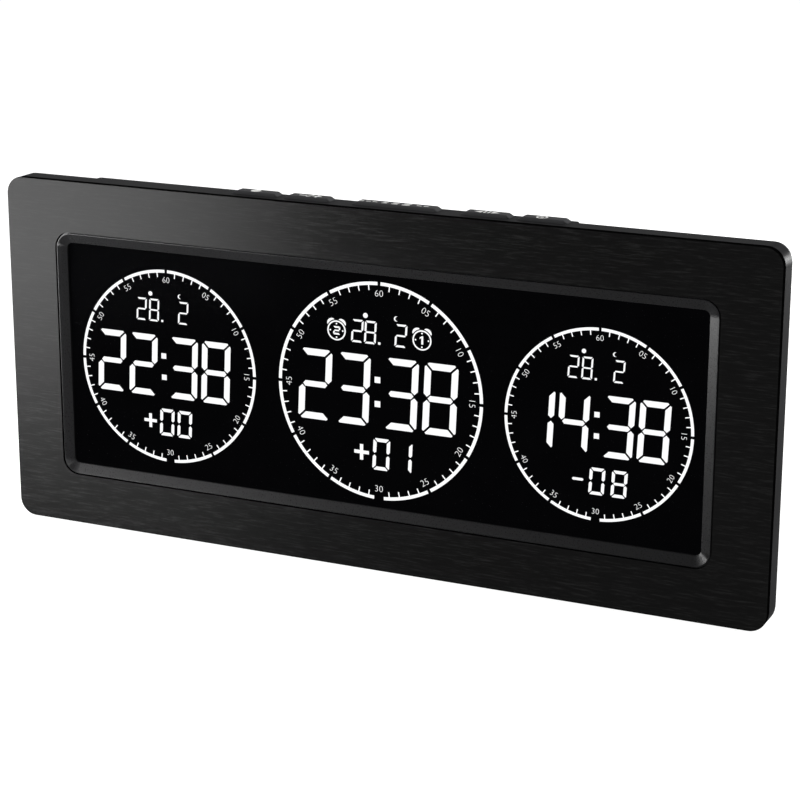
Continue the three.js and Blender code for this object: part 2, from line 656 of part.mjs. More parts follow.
const SOCKET_X = -LEDGE_HALF + BULGE_REAR_IN + COVER_WALL + CLEAR;
{
  const root = BACK_IN + LAP;
  const past = DEPTH + OVERCUT;
  const bulge = (inset, drop, rear, r) => roundRect(
    2 * (LEDGE_HALF - rear - inset), FACE_H - drop - 2 * inset, r, 0, Z0 + (FACE_H - drop) / 2, 4,
  );
  let body = loft('y', [
    [COVER_FRONT, facePts(COVER_INSET)],
    [COVER_PLATE_BACK - COVER_EDGE, facePts(COVER_INSET)],
    [COVER_PLATE_BACK, facePts(COVER_INSET + COVER_EDGE)],
  ]);
  body = body.add(loft('y', [
    [COVER_FRONT, bulge(0, COVER_TOP_DROP, 0, COVER_RIM_R)],
    [COVER_RIM_BACK, bulge(0, COVER_TOP_DROP, 0, COVER_RIM_R)],
    [DEPTH - BULGE_EDGE, bulge(0, BULGE_SLOPE_DROP, BULGE_REAR_IN, BULGE_R)],
    [DEPTH, bulge(BULGE_EDGE, BULGE_SLOPE_DROP, BULGE_REAR_IN, BULGE_EDGE_R)],
  ]));
  body = body.subtract(loft('y', [
    [COVER_FRONT - OVERCUT, bulge(COVER_WALL, COVER_TOP_DROP, 0, COVER_RIM_R)],
    [COVER_RIM_BACK - COVER_EDGE, bulge(COVER_WALL, COVER_TOP_DROP, 0, COVER_RIM_R)],
    [BACK_IN, bulge(COVER_WALL, BULGE_SLOPE_DROP, BULGE_REAR_IN, BULGE_INNER_R)],
  ]));
  // Room for the key ledge, and for the key flanges at full travel.
  const ledgeRoom = KEY_UNDER - KEY_FLANGE_T - KEY_TRAVEL - CLEAR;
  body = body.subtract(box(
    LEDGE_LEFT - CLEAR, LEDGE_RIGHT + CLEAR, COVER_FRONT - OVERCUT, COVER_TOP_START, ledgeRoom, ZT + OVERCUT,
  ));
  // Pads that press the display carrier home.
  for (const x of [-LEDGE_HALF - PAD_OUT, LEDGE_HALF + PAD_OUT]) {
    for (const z of [ZC - PAD_UP, ZC + PAD_UP]) {
      body = body.add(block(x, z, PAD_W / 2, PAD_H / 2, CARRIER_BACK + FILM, COVER_FRONT + LAP));
    }
  }
  // Inner blocks, then the pockets that are cut from behind.
  const bayHalf = [BAY_W / 2, BAY_H / 2];
  const doorHalf = [DOOR_W / 2, DOOR_H / 2];
  const walled = (half) => half.map((side) => side + BAY_WALL);
  const seat = DOOR_FRONT - CLEAR;
  body = body.add(block(BAY_X, BAY_Z, ...walled(bayHalf), BAY_FLOOR - BAY_WALL, root));
  body = body.add(block(BAY_X, BAY_Z, ...walled(doorHalf), seat - BAY_WALL, root));
  body = body.add(box(
    -STAND_HALF - STAND_BLOCK, STAND_HALF + STAND_BLOCK, STAND_IN - COVER_WALL, root,
    STAND_BOT - COVER_WALL, STAND_TOP + COVER_WALL,
  ));
  const hangFloor = DEPTH - HANG_DEEP;
  for (const x of [-HANG_X, HANG_X]) {
    const side = HANG_ROOM_SIDE + COVER_WALL;
    const low = HANG_Z - HANG_ROOM_DOWN - HANG_END_WALL;
    const high = HANG_Z + HANG_ROOM_UP + HANG_END_WALL;
    body = body.add(box(x - side, x + side, hangFloor - COVER_WALL, root, low, high));
  }
  for (const [x, z] of POSTS) {
    body = body.add(cylY(x, z, POST_R, BOARD_BACK + FILM, root));
    body = body.subtract(cylY(x, z, SCREW_R + CLEAR, BOARD_FRONT, BACK_IN - OVERCUT));
  }
  body = body.subtract(block(BAY_X, BAY_Z, ...bayHalf, BAY_FLOOR, past));
  const doorway = roundRect(DOOR_W + 2 * CLEAR, DOOR_H + 2 * CLEAR, DOOR_R + CLEAR, BAY_X, BAY_Z, 3);
  body = body.subtract(prism('y', seat, past, doorway));
  body = body.subtract(box(-STAND_HALF, STAND_HALF, STAND_IN, past, STAND_BOT, STAND_TOP));
  const pinEnd = STAND_HALF + STAND_PIN_SEAT + STAND_PIN_ROOM;
  body = body.subtract(cylX(STAND_D, STAND_PIN_Z, STAND_PIN_R + CLEAR, -pinEnd, pinEnd, 20));
  // Finger notch below the stand.
  body = body.subtract(cylX(DEPTH + NOTCH_OUT, STAND_BOT, NOTCH_R, -NOTCH_HALF, NOTCH_HALF, 24));
  for (const x of [-HANG_X, HANG_X]) {
    const entry = HANG_Z - HANG_HEAD_DROP;
    const neckTop = HANG_Z + HANG_NECK_UP;
    const neckHalf = HANG_NECK / 2;
    body = body.subtract(box(
      x - HANG_ROOM_SIDE, x + HANG_ROOM_SIDE, hangFloor, BACK_IN,
      HANG_Z - HANG_ROOM_DOWN, HANG_Z + HANG_ROOM_UP,
    ));
    body = body.subtract(cylY(x, entry, HANG_HEAD_R, hangFloor, past, 28));
    body = body.subtract(box(x - neckHalf, x + neckHalf, hangFloor, past, entry, neckTop));
    body = body.subtract(cylY(x, neckTop, neckHalf, hangFloor, past, 20));
  }
  // Sound slots over the buzzer.
  for (let i = -2; i <= 2; i++) {
    const slot = roundRect(
      SLOT_W, 2 * SLOT_HALVES[Math.abs(i)], SLOT_R, BUZZER_X + i * SLOT_PITCH, BUZZER_Z, 3,
    );
    body = body.subtract(prism('y', BACK_IN - OVERCUT, past, slot));
  }
  body = body.subtract(cylX(SOCKET_D, SOCKET_Z, SOCKET_HOLE_R, -LEDGE_HALF - 2 * OVERCUT, SOCKET_X, 28));
  for (const [x, z] of BOSSES) {
    body = body.subtract(cylY(x, z, SCREW_R + CLEAR, COVER_FRONT - OVERCUT, COVER_PLATE_BACK + OVERCUT));
  }
  for (const foot of FEET) {
    if (foot[1] > SLAB) body = body.subtract(footPocket(foot));
  }
  add('rear_cover', body, 'satinBlack');
}

// Case screws from behind, cross recess in each pan head.
BOSSES.forEach(([x, z], i) => {
  const seat = COVER_PLATE_BACK + FILM;
  const crown = seat + SCREW_HEAD_T;
  let body = loft('y', [
    [seat, circle(SCREW_HEAD_R, x, z, 20)],
    [seat + SCREW_HEAD_T * 0.6, circle(SCREW_HEAD_R, x, z, 20)],
    [crown, circle(SCREW_HEAD_R * 0.72, x, z, 20)],
  ]);
  body = body.add(cylY(x, z, SCREW_R, FLANGE_BACK + SCREW_TIP_IN, seat + SCREW_HEAD_LAP, 16));
  const deep = seat + SCREW_HEAD_T * 0.4;
  const long = SCREW_HEAD_R * 0.5;
  body = body.subtract(block(x, z, long, CROSS_W / 2, deep, crown + OVERCUT));
  body = body.subtract(block(x, z, CROSS_W / 2, long, deep, crown + OVERCUT));
  add(`case_screw_${i + 1}`, body, 'darkSteel');
});

// Main board on its four posts, with the larger components.
{
  const front = BOARD_FRONT - FILM;
  const back = BOARD_BACK + FILM;
  let board = box(BOARD_X0, BOARD_X1, BOARD_FRONT, BOARD_BACK, BOARD_Z0, BOARD_Z1);
  for (const [x, z] of POSTS) {
    board = board.subtract(cylY(x, z, SCREW_R + CLEAR, BOARD_FRONT - OVERCUT, BOARD_BACK + OVERCUT));
  }
  add('main_board', board, 'board');
  POSTS.forEach(([x, z], i) => {
    let body = cylY(x, z, SMALL_HEAD_R, front - SMALL_HEAD_T, front, 16);
    body = body.add(cylY(x, z, SCREW_R, BOARD_FRONT - LAP, BOARD_BACK + BOARD_SCREW_L, 16));
    add(`board_screw_${i + 1}`, body, 'steel');
  });
  const midX = (BOARD_X0 + BOARD_X1) / 2;
  const midZ = (BOARD_Z0 + BOARD_Z1) / 2;
  const domeRing = (r) => circle(r, midX + DOME_X, midZ + DOME_UP, 24);
  add('controller_dome', loft('y', [
    [front, domeRing(DOME_R)],
    [front - DOME_SHOULDER_T, domeRing(DOME_SHOULDER_R)],
    [front - DOME_T, domeRing(DOME_TOP_R)],
  ]), 'epoxy');
  const can = roundRect(CRYSTAL_W, CRYSTAL_H, CRYSTAL_R, midX - CRYSTAL_X, midZ + CRYSTAL_UP, 4);
  add('crystal_can', prism('y', front, front - CRYSTAL_T, can), 'steel');
  const capacitor = cylY(
    BOARD_X0 + CAPACITOR_X, BOARD_Z0 + CAPACITOR_UP, CAPACITOR_R, back, back + CAPACITOR_L, 20,
  );
  add('supply_capacitor', capacitor, 'epoxy');
  // Buzzer can glued behind the sound slots.
  const well = cylY(BUZZER_X, BUZZER_Z, BUZZER_R - BUZZER_WALL, BACK_IN - BUZZER_WELL, BACK_IN + OVERCUT, 36);
  const buzzer = cylY(BUZZER_X, BUZZER_Z, BUZZER_R, BACK_IN - BUZZER_L, BACK_IN - FILM, 36);
  add('buzzer', buzzer.subtract(well), 'epoxy');
}

// Power socket on the back of the main board, reached through the end wall.
{
  const bore = SOCKET_X + SOCKET_BORE_L;
  const low = SOCKET_Z - SOCKET_HALF;
  const high = SOCKET_Z + SOCKET_HALF;
  let body = box(
    SOCKET_X, SOCKET_X + SOCKET_L, SOCKET_D - SOCKET_HALF, SOCKET_D + SOCKET_HALF, low, high,
  );
  body = body.subtract(cylX(SOCKET_D, SOCKET_Z, SOCKET_BORE_R, SOCKET_X - OVERCUT, bore, 24));
  body = body.add(cylX(SOCKET_D, SOCKET_Z, SOCKET_PIN_R, SOCKET_X + SOCKET_PIN_IN, bore + LAP, 16));
  add('power_socket', body, 'epoxy');
}

// Three cells side by side, the middle one turned round, with springs and contact strips.
{
  const x0 = BAY_X - BAY_W / 2;
  const x1 = BAY_X + BAY_W / 2;
  const springRoom = SPRING_L + CONTACT_T + 2 * FILM;
  const cellZ = [BAY_Z + CELL_PITCH, BAY_Z, BAY_Z - CELL_PITCH];
  cellZ.forEach((z, i) => {
    const s = i === 1 ? -1 : 1;
    const xNeg = s > 0 ? x0 + springRoom : x1 - springRoom;
    const at = (t) => xNeg + s * t;
    const ring = (r) => circle(r, CELL_D, z, 24);
    add(`battery_cell_${i + 1}`, loft('x', [
      [at(0), ring(CELL_R - CELL_EDGE)],
      [at(CELL_EDGE), ring(CELL_R)],
      [at(CELL_L - CELL_EDGE), ring(CELL_R)],
      [at(CELL_L), ring(CELL_R - CELL_EDGE)],
      [at(CELL_L), ring(CELL_NUB_R)],
      [at(CELL_L + CELL_NUB_L), ring(CELL_NUB_TIP_R)],
    ]), 'cell');
    // Coil spring, widest at the wall, as a swept wire.
    const path = [];
    const points = SPRING_COILS * 10;
    for (let k = 0; k <= points; k++) {
      const t = k / points;
      const a = 2 * Math.PI * SPRING_COILS * t;
      const r = SPRING_R - SPRING_TAPER * t;
      const x = at(SPRING_END + (SPRING_L - 2 * SPRING_END) * t - SPRING_L - FILM);
      path.push(new THREE.Vector3(x, yAt(CELL_D) + r * Math.cos(a), z + r * Math.sin(a)));
    }
    const wire = new THREE.Shape();
    wire.absarc(0, 0, WIRE_R, 0, 2 * Math.PI, false);
    const coil = new THREE.ExtrudeGeometry(wire, {
      steps: SPRING_COILS * 12,
      curveSegments: 3,
      bevelEnabled: false,
      extrudePath: new THREE.CatmullRomCurve3(path),
    });
    add(`battery_spring_${i + 1}`, solid(coil), 'steel');
  });
  const strip = (name, x, zLow, zHigh) => {
    const half = CONTACT_HALF;
    add(name, box(x, x + CONTACT_T, CELL_D - half, CELL_D + half, zLow - half, zHigh + half), 'steel');
  };
  strip('contact_left_single', x0 + FILM, cellZ[0], cellZ[0]);
  strip('contact_left_pair', x0 + FILM, cellZ[2], cellZ[1]);
  strip('contact_right_pair', x1 - FILM - CONTACT_T, cellZ[1], cellZ[0]);
  strip('contact_right_single', x1 - FILM - CONTACT_T, cellZ[2], cellZ[2]);
}

// Battery door: flat cover with a thumb latch and grip ribs.
{
  const top = BAY_Z + DOOR_H / 2;
  const back = DEPTH - DOOR_SUNK;
  const outline = (inset) => roundRect(
    DOOR_W - 2 * inset, DOOR_H - 2 * inset, DOOR_R - inset, BAY_X, BAY_Z, 3,
  );
  let door = loft('y', [
    [DOOR_FRONT, outline(0)],
    [back - EDGE, outline(0)],
    [back, outline(EDGE)],
  ]);
  const latch = roundRect(LATCH_W, LATCH_H, LATCH_R, BAY_X, top - LATCH_DOWN, 3);
  door = door.subtract(prism('y', DEPTH - LATCH_DEEP, DEPTH + OVERCUT, latch));
  for (let i = 0; i < GRIP_RIBS; i++) {
    const z = top - GRIP_DOWN + i * GRIP_PITCH;
    door = door.add(block(BAY_X, z, GRIP_W / 2, GRIP_T / 2, DEPTH - GRIP_ROOT, DEPTH - GRIP_SUNK));
  }
  add('battery_door', door, 'satinBlack');
}

// Fold-out stand: leg with a heel that stops against the recess floor, on a steel pin.
{
  const front = STAND_D - STAND_T / 2;
  const back = STAND_D + STAND_T / 2;
  const tip = STAND_PIN_Z - STAND_L;
  const long = STAND_L - STAND_EDGE;
  const middle = tip + long / 2;
  const heelHalf = STAND_W / 2 - STAND_HEEL_IN;
  const trimTop = STAND_PIN_Z + 2 * STAND_HEEL + STAND_TRIM;
  let leg = loft('y', [
    [front, roundRect(STAND_W, long, STAND_R, 0, middle, 4)],
    [back - STAND_EDGE, roundRect(STAND_W, long, STAND_R, 0, middle, 4)],
    [back, roundRect(STAND_W - 2 * STAND_EDGE, long - 2 * STAND_EDGE, STAND_EDGE_R, 0, middle, 4)],
  ]);
  const open = roundRect(
    STAND_W - 2 * STAND_RAIL, STAND_L - 2 * STAND_BRIDGE, STAND_R, 0, tip + STAND_L / 2 - STAND_CUT_DOWN, 4,
  );
  leg = leg.subtract(box(
    -STAND_W, STAND_W, front - OVERCUT, back + OVERCUT, STAND_PIN_Z - STAND_TRIM, trimTop,
  ));
  leg = leg.add(cylX(STAND_D, STAND_PIN_Z, STAND_T / 2 + STAND_KNUCKLE, -STAND_W / 2, STAND_W / 2, 28));
  leg = leg.add(box(
    -heelHalf, heelHalf, STAND_D + STAND_KNUCKLE, back - STAND_KNUCKLE, STAND_PIN_Z, STAND_PIN_Z + STAND_HEEL,
  ));
  leg = leg.subtract(prism('y', front - OVERCUT, back + OVERCUT, open));
  leg = leg.subtract(cylX(STAND_D, STAND_PIN_Z, STAND_PIN_R + CLEAR, -STAND_W, STAND_W, 20));
  add('stand_leg', leg, 'satinBlack');
  const pinEnd = STAND_HALF + STAND_PIN_SEAT;
  add('stand_pin', cylX(STAND_D, STAND_PIN_Z, STAND_PIN_R, -pinEnd, pinEnd, 20), 'steel');
}

// Rubber feet seated in shallow pockets of the case bottom.
FEET.forEach(([x, d], i) => {
  add(`foot_pad_${i + 1}`, loft('z', [
    [0, circle(FOOT_R - EDGE, x, d, 24)],
    [EDGE, circle(FOOT_R, x, d, 24)],
    [Z0 + FOOT_SEAT - FILM, circle(FOOT_R, x, d, 24)],
  ]), 'rubber');
});

export default group;
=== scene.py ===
# %% [markdown]
# A wide digital alarm clock, dressed for its portrait.
# The clock is a slab: a brushed dark plate in front, a moulded case behind it, and a black display with
# three round dials. The imported parts give every place and size, so the lesson starts by loading them.

# %% Load the imported parts
import json
import math

import bmesh
import bpy
from mathutils import Matrix, Vector


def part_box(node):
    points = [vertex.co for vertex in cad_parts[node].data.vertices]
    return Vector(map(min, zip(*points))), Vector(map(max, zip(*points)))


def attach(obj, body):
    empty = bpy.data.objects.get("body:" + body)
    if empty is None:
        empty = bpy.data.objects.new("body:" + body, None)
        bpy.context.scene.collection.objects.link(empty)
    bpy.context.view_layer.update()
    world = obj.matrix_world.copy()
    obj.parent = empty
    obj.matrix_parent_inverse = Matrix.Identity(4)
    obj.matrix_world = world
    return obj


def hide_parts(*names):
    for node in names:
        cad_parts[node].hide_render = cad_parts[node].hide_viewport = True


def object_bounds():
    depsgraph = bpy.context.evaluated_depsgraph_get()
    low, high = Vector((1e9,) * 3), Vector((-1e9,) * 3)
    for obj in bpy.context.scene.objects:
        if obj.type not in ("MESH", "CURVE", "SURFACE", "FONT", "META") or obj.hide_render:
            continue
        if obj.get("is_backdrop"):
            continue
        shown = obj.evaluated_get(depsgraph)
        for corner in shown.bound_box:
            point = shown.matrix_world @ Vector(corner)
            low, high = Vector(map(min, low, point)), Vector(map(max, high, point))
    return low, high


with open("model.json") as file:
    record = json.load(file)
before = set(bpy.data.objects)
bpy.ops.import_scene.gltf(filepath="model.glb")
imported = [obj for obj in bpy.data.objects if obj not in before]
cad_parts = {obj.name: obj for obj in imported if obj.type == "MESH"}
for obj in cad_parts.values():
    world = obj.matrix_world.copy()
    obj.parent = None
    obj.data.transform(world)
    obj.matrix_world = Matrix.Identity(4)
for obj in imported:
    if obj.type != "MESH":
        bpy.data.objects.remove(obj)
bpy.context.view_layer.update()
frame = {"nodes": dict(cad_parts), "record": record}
nodes = frame["nodes"]
scene = bpy.context.scene
MM = 0.001

# %% [markdown]
# The camera stands to the right of the clock and a little above it, with a long lens.
# Its place was worked out from the straight edges of the face, so no shift is needed to frame the clock.
# The Standard view transform shows a colour as it is written, which a grey product on white needs.

# %% Camera
# Place and lens in millimetres, turns in degrees.
CAMERA_AT = (417.85, -879.08, 351.61)
CAMERA_LENS = 104.88
CAMERA_SENSOR = 36.0
CAMERA_PAN = 24.94
CAMERA_TILT = 74.09
CAMERA_ROLL = 0.139

camera_data = bpy.data.cameras.new("portrait_camera")
camera_data.sensor_width = CAMERA_SENSOR
camera_data.lens = CAMERA_LENS
camera = bpy.data.objects.new("portrait_camera", camera_data)
scene.collection.objects.link(camera)
camera_turn = (
    Matrix.Rotation(math.radians(CAMERA_PAN), 4, "Z")
    @ Matrix.Rotation(math.radians(CAMERA_TILT), 4, "X")
    @ Matrix.Rotation(math.radians(CAMERA_ROLL), 4, "Z")
)
camera.matrix_world = Matrix.Translation(Vector(CAMERA_AT) * MM) @ camera_turn
scene.camera = camera
scene.view_settings.view_transform = "Standard"
print("camera distance in mm:", round(Vector(CAMERA_AT).length, 1))

# %% [markdown]
# Every material below is a small tree of nodes. One helper adds a node, sets its values and links what
# feeds it, and another turns a colour written as sRGB hex into the linear numbers that shaders use.


# %% Helpers for colours and nodes
def hex_colour(code):
    """Linear RGBA of an sRGB colour such as #1a2b3c."""
    parts = [int(code[i:i + 2], 16) / 255 for i in (1, 3, 5)]
    return tuple(p / 12.92 if p <= 0.04045 else ((p + 0.055) / 1.055) ** 2.4 for p in parts) + (1.0,)


def add_node(tree, kind, inputs=None, stops=(), **settings):
    """A new node. Inputs are values or sockets to link, by name or number; stops are a ramp's colours."""
    made = tree.nodes.new(kind)
    for name, value in settings.items():
        setattr(made, name, value)
    for count, (position, code) in enumerate(stops):
        ramp = made.color_ramp.elements
        stop = ramp[count] if count < 2 else ramp.new(position)
        stop.position = position
        stop.color = hex_colour(code)
    for name, value in (inputs or {}).items():
        if isinstance(value, bpy.types.NodeSocket):
            tree.links.new(value, made.inputs[name])
        else:
            made.inputs[name].default_value = value
    return made


def new_material(name):
    """An empty material and its node tree."""
    material = bpy.data.materials.new(name)
    material.use_nodes = True
    material.node_tree.nodes.clear()
    return material, material.node_tree


def per_mm(feature_mm):
    """Texture scale at which one feature is about that many millimetres wide."""
    return 1 / (feature_mm * MM)


print("helpers ready, mid grey is", [round(c, 3) for c in hex_colour("#808080")[:3]])

# %% [markdown]
# The studio stands on a large sheet of white paper. Lamps bright enough to turn it white would flood the
# clock as well. So the paper glows, to the camera and to reflections alone, and its own grey still takes
# the clock's shadow.

# %% Floor
# Side in metres.
FLOOR_SIZE = 14.0
FLOOR_COLOUR = "#a0a0a0"
FLOOR_GLOW = 0.95

floor_mesh = bpy.data.meshes.new("studio_floor")
half = FLOOR_SIZE / 2
floor_corners = [(-half, -half, 0), (half, -half, 0), (half, half, 0), (-half, half, 0)]
floor_mesh.from_pydata(floor_corners, [], [(0, 1, 2, 3)])
floor = bpy.data.objects.new("studio_floor", floor_mesh)
scene.collection.objects.link(floor)
floor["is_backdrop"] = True


def seen_as_background(tree):
    """1 for the camera's rays, and for those that a reflection or clear sheet passes on to the background."""
    rays = add_node(tree, "ShaderNodeLightPath").outputs
    direct = add_node(tree, "ShaderNodeMath", {0: rays["Is Camera Ray"], 1: rays["Is Glossy Ray"]},
                      operation="MAXIMUM")
    return add_node(tree, "ShaderNodeMath", {0: direct.outputs[0], 1: rays["Is Transmission Ray"]},
                    operation="MAXIMUM").outputs[0]


floor_material, tree = new_material("white_paper_sweep")
glow = add_node(tree, "ShaderNodeMath", {0: seen_as_background(tree), 1: FLOOR_GLOW}, operation="MULTIPLY")
paper = add_node(tree, "ShaderNodeBsdfDiffuse", {"Color": hex_colour(FLOOR_COLOUR)})
light_of_paper = add_node(tree, "ShaderNodeEmission", {"Strength": glow.outputs[0]})
both = add_node(tree, "ShaderNodeAddShader", {0: paper.outputs[0], 1: light_of_paper.outputs[0]})
add_node(tree, "ShaderNodeOutputMaterial", {"Surface": both.outputs[0]})
floor_mesh.materials.append(floor_material)
print("floor side in m:", FLOOR_SIZE)

# %% [markdown]
# A brushed plate shows where the light is: it fades from grey to black along its length when the light
# comes from one end. So a soft box stands at the front left and a panel lies on the floor beside it.
# A low lamp behind the right end draws the light along that corner, and weaker boxes behind and overhead
# keep the upper edges and the back readable. The world is dim where it lights the clock, and white to
# the camera and to reflections, as the floor is.

# %% Lamps and world
WORLD_COLOUR = "#707070"


def soft_box(name, at_mm, pan, tilt, size_mm, watts):
    """A rectangular lamp. Tilt 0 faces down, 90 faces +Y and 180 faces up; pan then turns it about +Z."""
    lamp = bpy.data.lights.new(name, "AREA")
    lamp.shape = "RECTANGLE"
    lamp.size = size_mm[0] * MM
    lamp.size_y = size_mm[1] * MM
    lamp.energy = watts
    made = bpy.data.objects.new(name, lamp)
    scene.collection.objects.link(made)
    made.visible_camera = False
    turn = Matrix.Rotation(math.radians(pan), 4, "Z") @ Matrix.Rotation(math.radians(tilt), 4, "X")
    made.matrix_world = Matrix.Translation(Vector(at_mm) * MM) @ turn
    return made


# Place in millimetres, pan and tilt in degrees, width and height in millimetres, watts.
LAMPS = {
    "floor_panel": ((-400, -300, 8), -45, 160, (380, 420), 23.0),
    "front_left_box": ((-808, -656, 330), -48, 78, (640, 480), 6.5),
    "back_box": ((-330, 950, 450), 199, 70, (800, 300), 0.4),
    "corner_light": ((500, 943, 135), 152, 92, (240, 170), 25.0),
    "rear_fill": ((420, 900, 620), 155, 58, (700, 500), 3.5),
    "overhead_box": ((-220, 250, 1100), 0, -14, (900, 700), 5.5),
}
for lamp_name, lamp_setting in LAMPS.items():
    soft_box(lamp_name, *lamp_setting)

world = bpy.data.worlds.new("dim_studio")
world.use_nodes = True
world_tree = world.node_tree
world_tree.nodes.clear()
sky = seen_as_background(world_tree)
dim = add_node(world_tree, "ShaderNodeBackground", {"Color": hex_colour(WORLD_COLOUR)})
white = add_node(world_tree, "ShaderNodeBackground", {"Color": hex_colour("#ffffff")})
backdrop = add_node(world_tree, "ShaderNodeMixShader", {0: sky, 1: dim.outputs[0], 2: white.outputs[0]})
add_node(world_tree, "ShaderNodeOutputWorld", {"Surface": backdrop.outputs[0]})
scene.world = world

# %% [markdown]
# The face plate is aluminium, brushed along its length and anodised black. Brushing leaves long fine
# scratches that spread a reflection across them and keep it narrow along them, so the highlight is
# anisotropic. A picture of brushing would repeat, so the scratches are a noise, stretched along the plate.
# The tangent comes from the plate's own UV map, whose U axis runs up the plate.

# %% Brushed black anodised aluminium
# Length and spacing of the hairlines, depth of a scratch and grit of the rim, in millimetres.
STREAK_LONG, STREAK_PITCH = 9.0, 0.50
SCRATCH_DEPTH = 0.02
TEAR_MM = 0.5
# Noise values at which a scratch begins and is full, and the roughness at each.
SCRATCH_FROM, SCRATCH_FULL = 0.52, 0.70
PLAIN_ROUGH, SCRATCH_ROUGH = 0.34, 0.54
# Most values of a noise lie between these two.
NOISE_LOW, NOISE_HIGH = 0.3, 0.7
# A ramp starts with two stops, so its two ends come first.
PLATE_TONES = ((0.30, "#0f0f0f"), (SCRATCH_FULL, "#1e1e1e"), (0.42, "#111111"), (SCRATCH_FROM, "#111111"))
BRUSH_UV = "brush"


def brushed_black_aluminium():
    """Dark dyed metal with hairlines: a wide soft highlight up the plate, a tight one along it."""
    material, tree = new_material("brushed_black_anodised_aluminium")
    place = add_node(tree, "ShaderNodeTexCoord").outputs["Object"]
    # The real hairlines are finer than a pixel, so they are drawn coarse enough to show.
    squeezed = add_node(tree, "ShaderNodeMapping", {
        "Vector": place, "Scale": (per_mm(STREAK_LONG), per_mm(STREAK_LONG), per_mm(STREAK_PITCH))})
    streak = add_node(tree, "ShaderNodeTexNoise", {
        "Vector": squeezed.outputs[0], "Scale": 1.0, "Detail": 3.0, "Roughness": 0.7}).outputs["Fac"]
    # Most of the sheet is one tone. A scratch is lighter and rougher, so it is lost in the brightest
    # part of the highlight and shows as a light dash beside it.
    tone = add_node(tree, "ShaderNodeValToRGB", {"Fac": streak}, PLATE_TONES)
    rough = add_node(tree, "ShaderNodeMapRange", {
        "Value": streak, "From Min": SCRATCH_FROM, "From Max": SCRATCH_FULL,
        "To Min": PLAIN_ROUGH, "To Max": SCRATCH_ROUGH})
    relief = add_node(tree, "ShaderNodeBump",
                      {"Height": streak, "Strength": 0.20, "Distance": SCRATCH_DEPTH * MM})
    along = add_node(tree, "ShaderNodeTangent", direction_type="UV_MAP", uv_map=BRUSH_UV)
    metal = add_node(tree, "ShaderNodeBsdfPrincipled", {
        "Base Color": tone.outputs[0], "Metallic": 1.0, "Roughness": rough.outputs[0], "Anisotropic": 0.72,
        "Tangent": along.outputs[0], "Normal": relief.outputs[0]})
    add_node(tree, "ShaderNodeOutputMaterial", {"Surface": metal.outputs[0]})
    return material


def rim_with_painted_shade():
    """The sheared rim of the sheet: black anodised, and kept black and dull from any side as painted shade
    for the gap.
    """
    material, tree = new_material("black_anodised_rim_painted_shade")
    place = add_node(tree, "ShaderNodeTexCoord").outputs["Object"]
    tear = add_node(tree, "ShaderNodeTexNoise",
                    {"Vector": place, "Scale": per_mm(TEAR_MM), "Detail": 2.0}).outputs["Fac"]
    tone = add_node(tree, "ShaderNodeValToRGB", {"Fac": tear},
                    ((NOISE_LOW, "#040404"), (NOISE_HIGH, "#080808")))
    rough = add_node(tree, "ShaderNodeMapRange", {"Value": tear, "To Min": 0.45, "To Max": 0.65})
    oxide = add_node(tree, "ShaderNodeBsdfPrincipled", {
        "Base Color": tone.outputs[0], "Roughness": rough.outputs[0], "Specular IOR Level": 0.0})
    add_node(tree, "ShaderNodeOutputMaterial", {"Surface": oxide.outputs[0]})
    return material


PLATE_METAL = brushed_black_aluminium()
PAINTED_SHADE_RIM = rim_with_painted_shade()
print("plate metal:", PLATE_METAL.name, PAINTED_SHADE_RIM.name)

# %% [markdown]
# The case, the keys and the rear cover are black ABS, and the mould decides how most of their faces look:
# polished on the window's surround, satin on the wall and spark eroded on the back. The step under the plate
# is painted shade, a black that stands for the shadow in the gap, and the keys are paler, as painted light
# on their shaded fronts. Each could have a tree of its own, but they differ only in tone, grain and gloss.
# So one recipe with a few numbers makes them all, and the rubber feet and the white plastics inside as well.

# %% Moulded plastics
CLOUD_MM = 28.0
ROUGH_SPREAD = 0.05
PLASTIC_IOR = 1.53


def moulded_plastic(name, dark, light, grain_mm, grain_depth_mm, roughness, specular):
    """Plastic with the grain of its mould, which breaks the reflection into a soft sheen."""
    material, tree = new_material(name)
    place = add_node(tree, "ShaderNodeTexCoord").outputs["Object"]
    grain = add_node(tree, "ShaderNodeTexNoise",
                     {"Vector": place, "Scale": per_mm(grain_mm), "Detail": 2.0, "Roughness": 0.55})
    cloud = add_node(tree, "ShaderNodeTexNoise", {"Vector": place, "Scale": per_mm(CLOUD_MM), "Detail": 2.0})
    tone = add_node(tree, "ShaderNodeValToRGB", {"Fac": cloud.outputs["Fac"]},
                    ((NOISE_LOW, dark), (NOISE_HIGH, light)))
    rough = add_node(tree, "ShaderNodeMapRange",
                     {"Value": grain.outputs["Fac"], "From Min": NOISE_LOW, "From Max": NOISE_HIGH,
                      "To Min": roughness - ROUGH_SPREAD, "To Max": roughness + ROUGH_SPREAD})
    relief = add_node(tree, "ShaderNodeBump",
                      {"Height": grain.outputs["Fac"], "Strength": 0.5, "Distance": grain_depth_mm * MM})
    plastic = add_node(tree, "ShaderNodeBsdfPrincipled", {
        "Base Color": tone.outputs[0], "Roughness": rough.outputs[0], "Specular IOR Level": specular,
        "IOR": PLASTIC_IOR, "Normal": relief.outputs[0]})
    add_node(tree, "ShaderNodeOutputMaterial", {"Surface": plastic.outputs[0]})
    return material


# Name, darker and lighter tone, width and depth of the grain in mm, roughness, specular level.
# The wall: a dark satin with hardly any glint.
CASE_ABS = moulded_plastic("satin_moulded_abs", "#232324", "#282829", 0.45, 0.01, 0.36, 0.001)
# The step under the plate and the wall's front edge: painted shade, a matt black that stands for the shadow
# in the gap.
PAINTED_SHADE_ABS = moulded_plastic("painted_shade_matt_abs", "#040404", "#070707", 0.50, 0.02, 0.75, 0.001)
# The surround: polished, so that its slopes show where the light stands.
SURROUND_ABS = moulded_plastic("polished_moulded_abs", "#0c0c0d", "#101011", 0.60, 0.004, 0.30, 0.09)
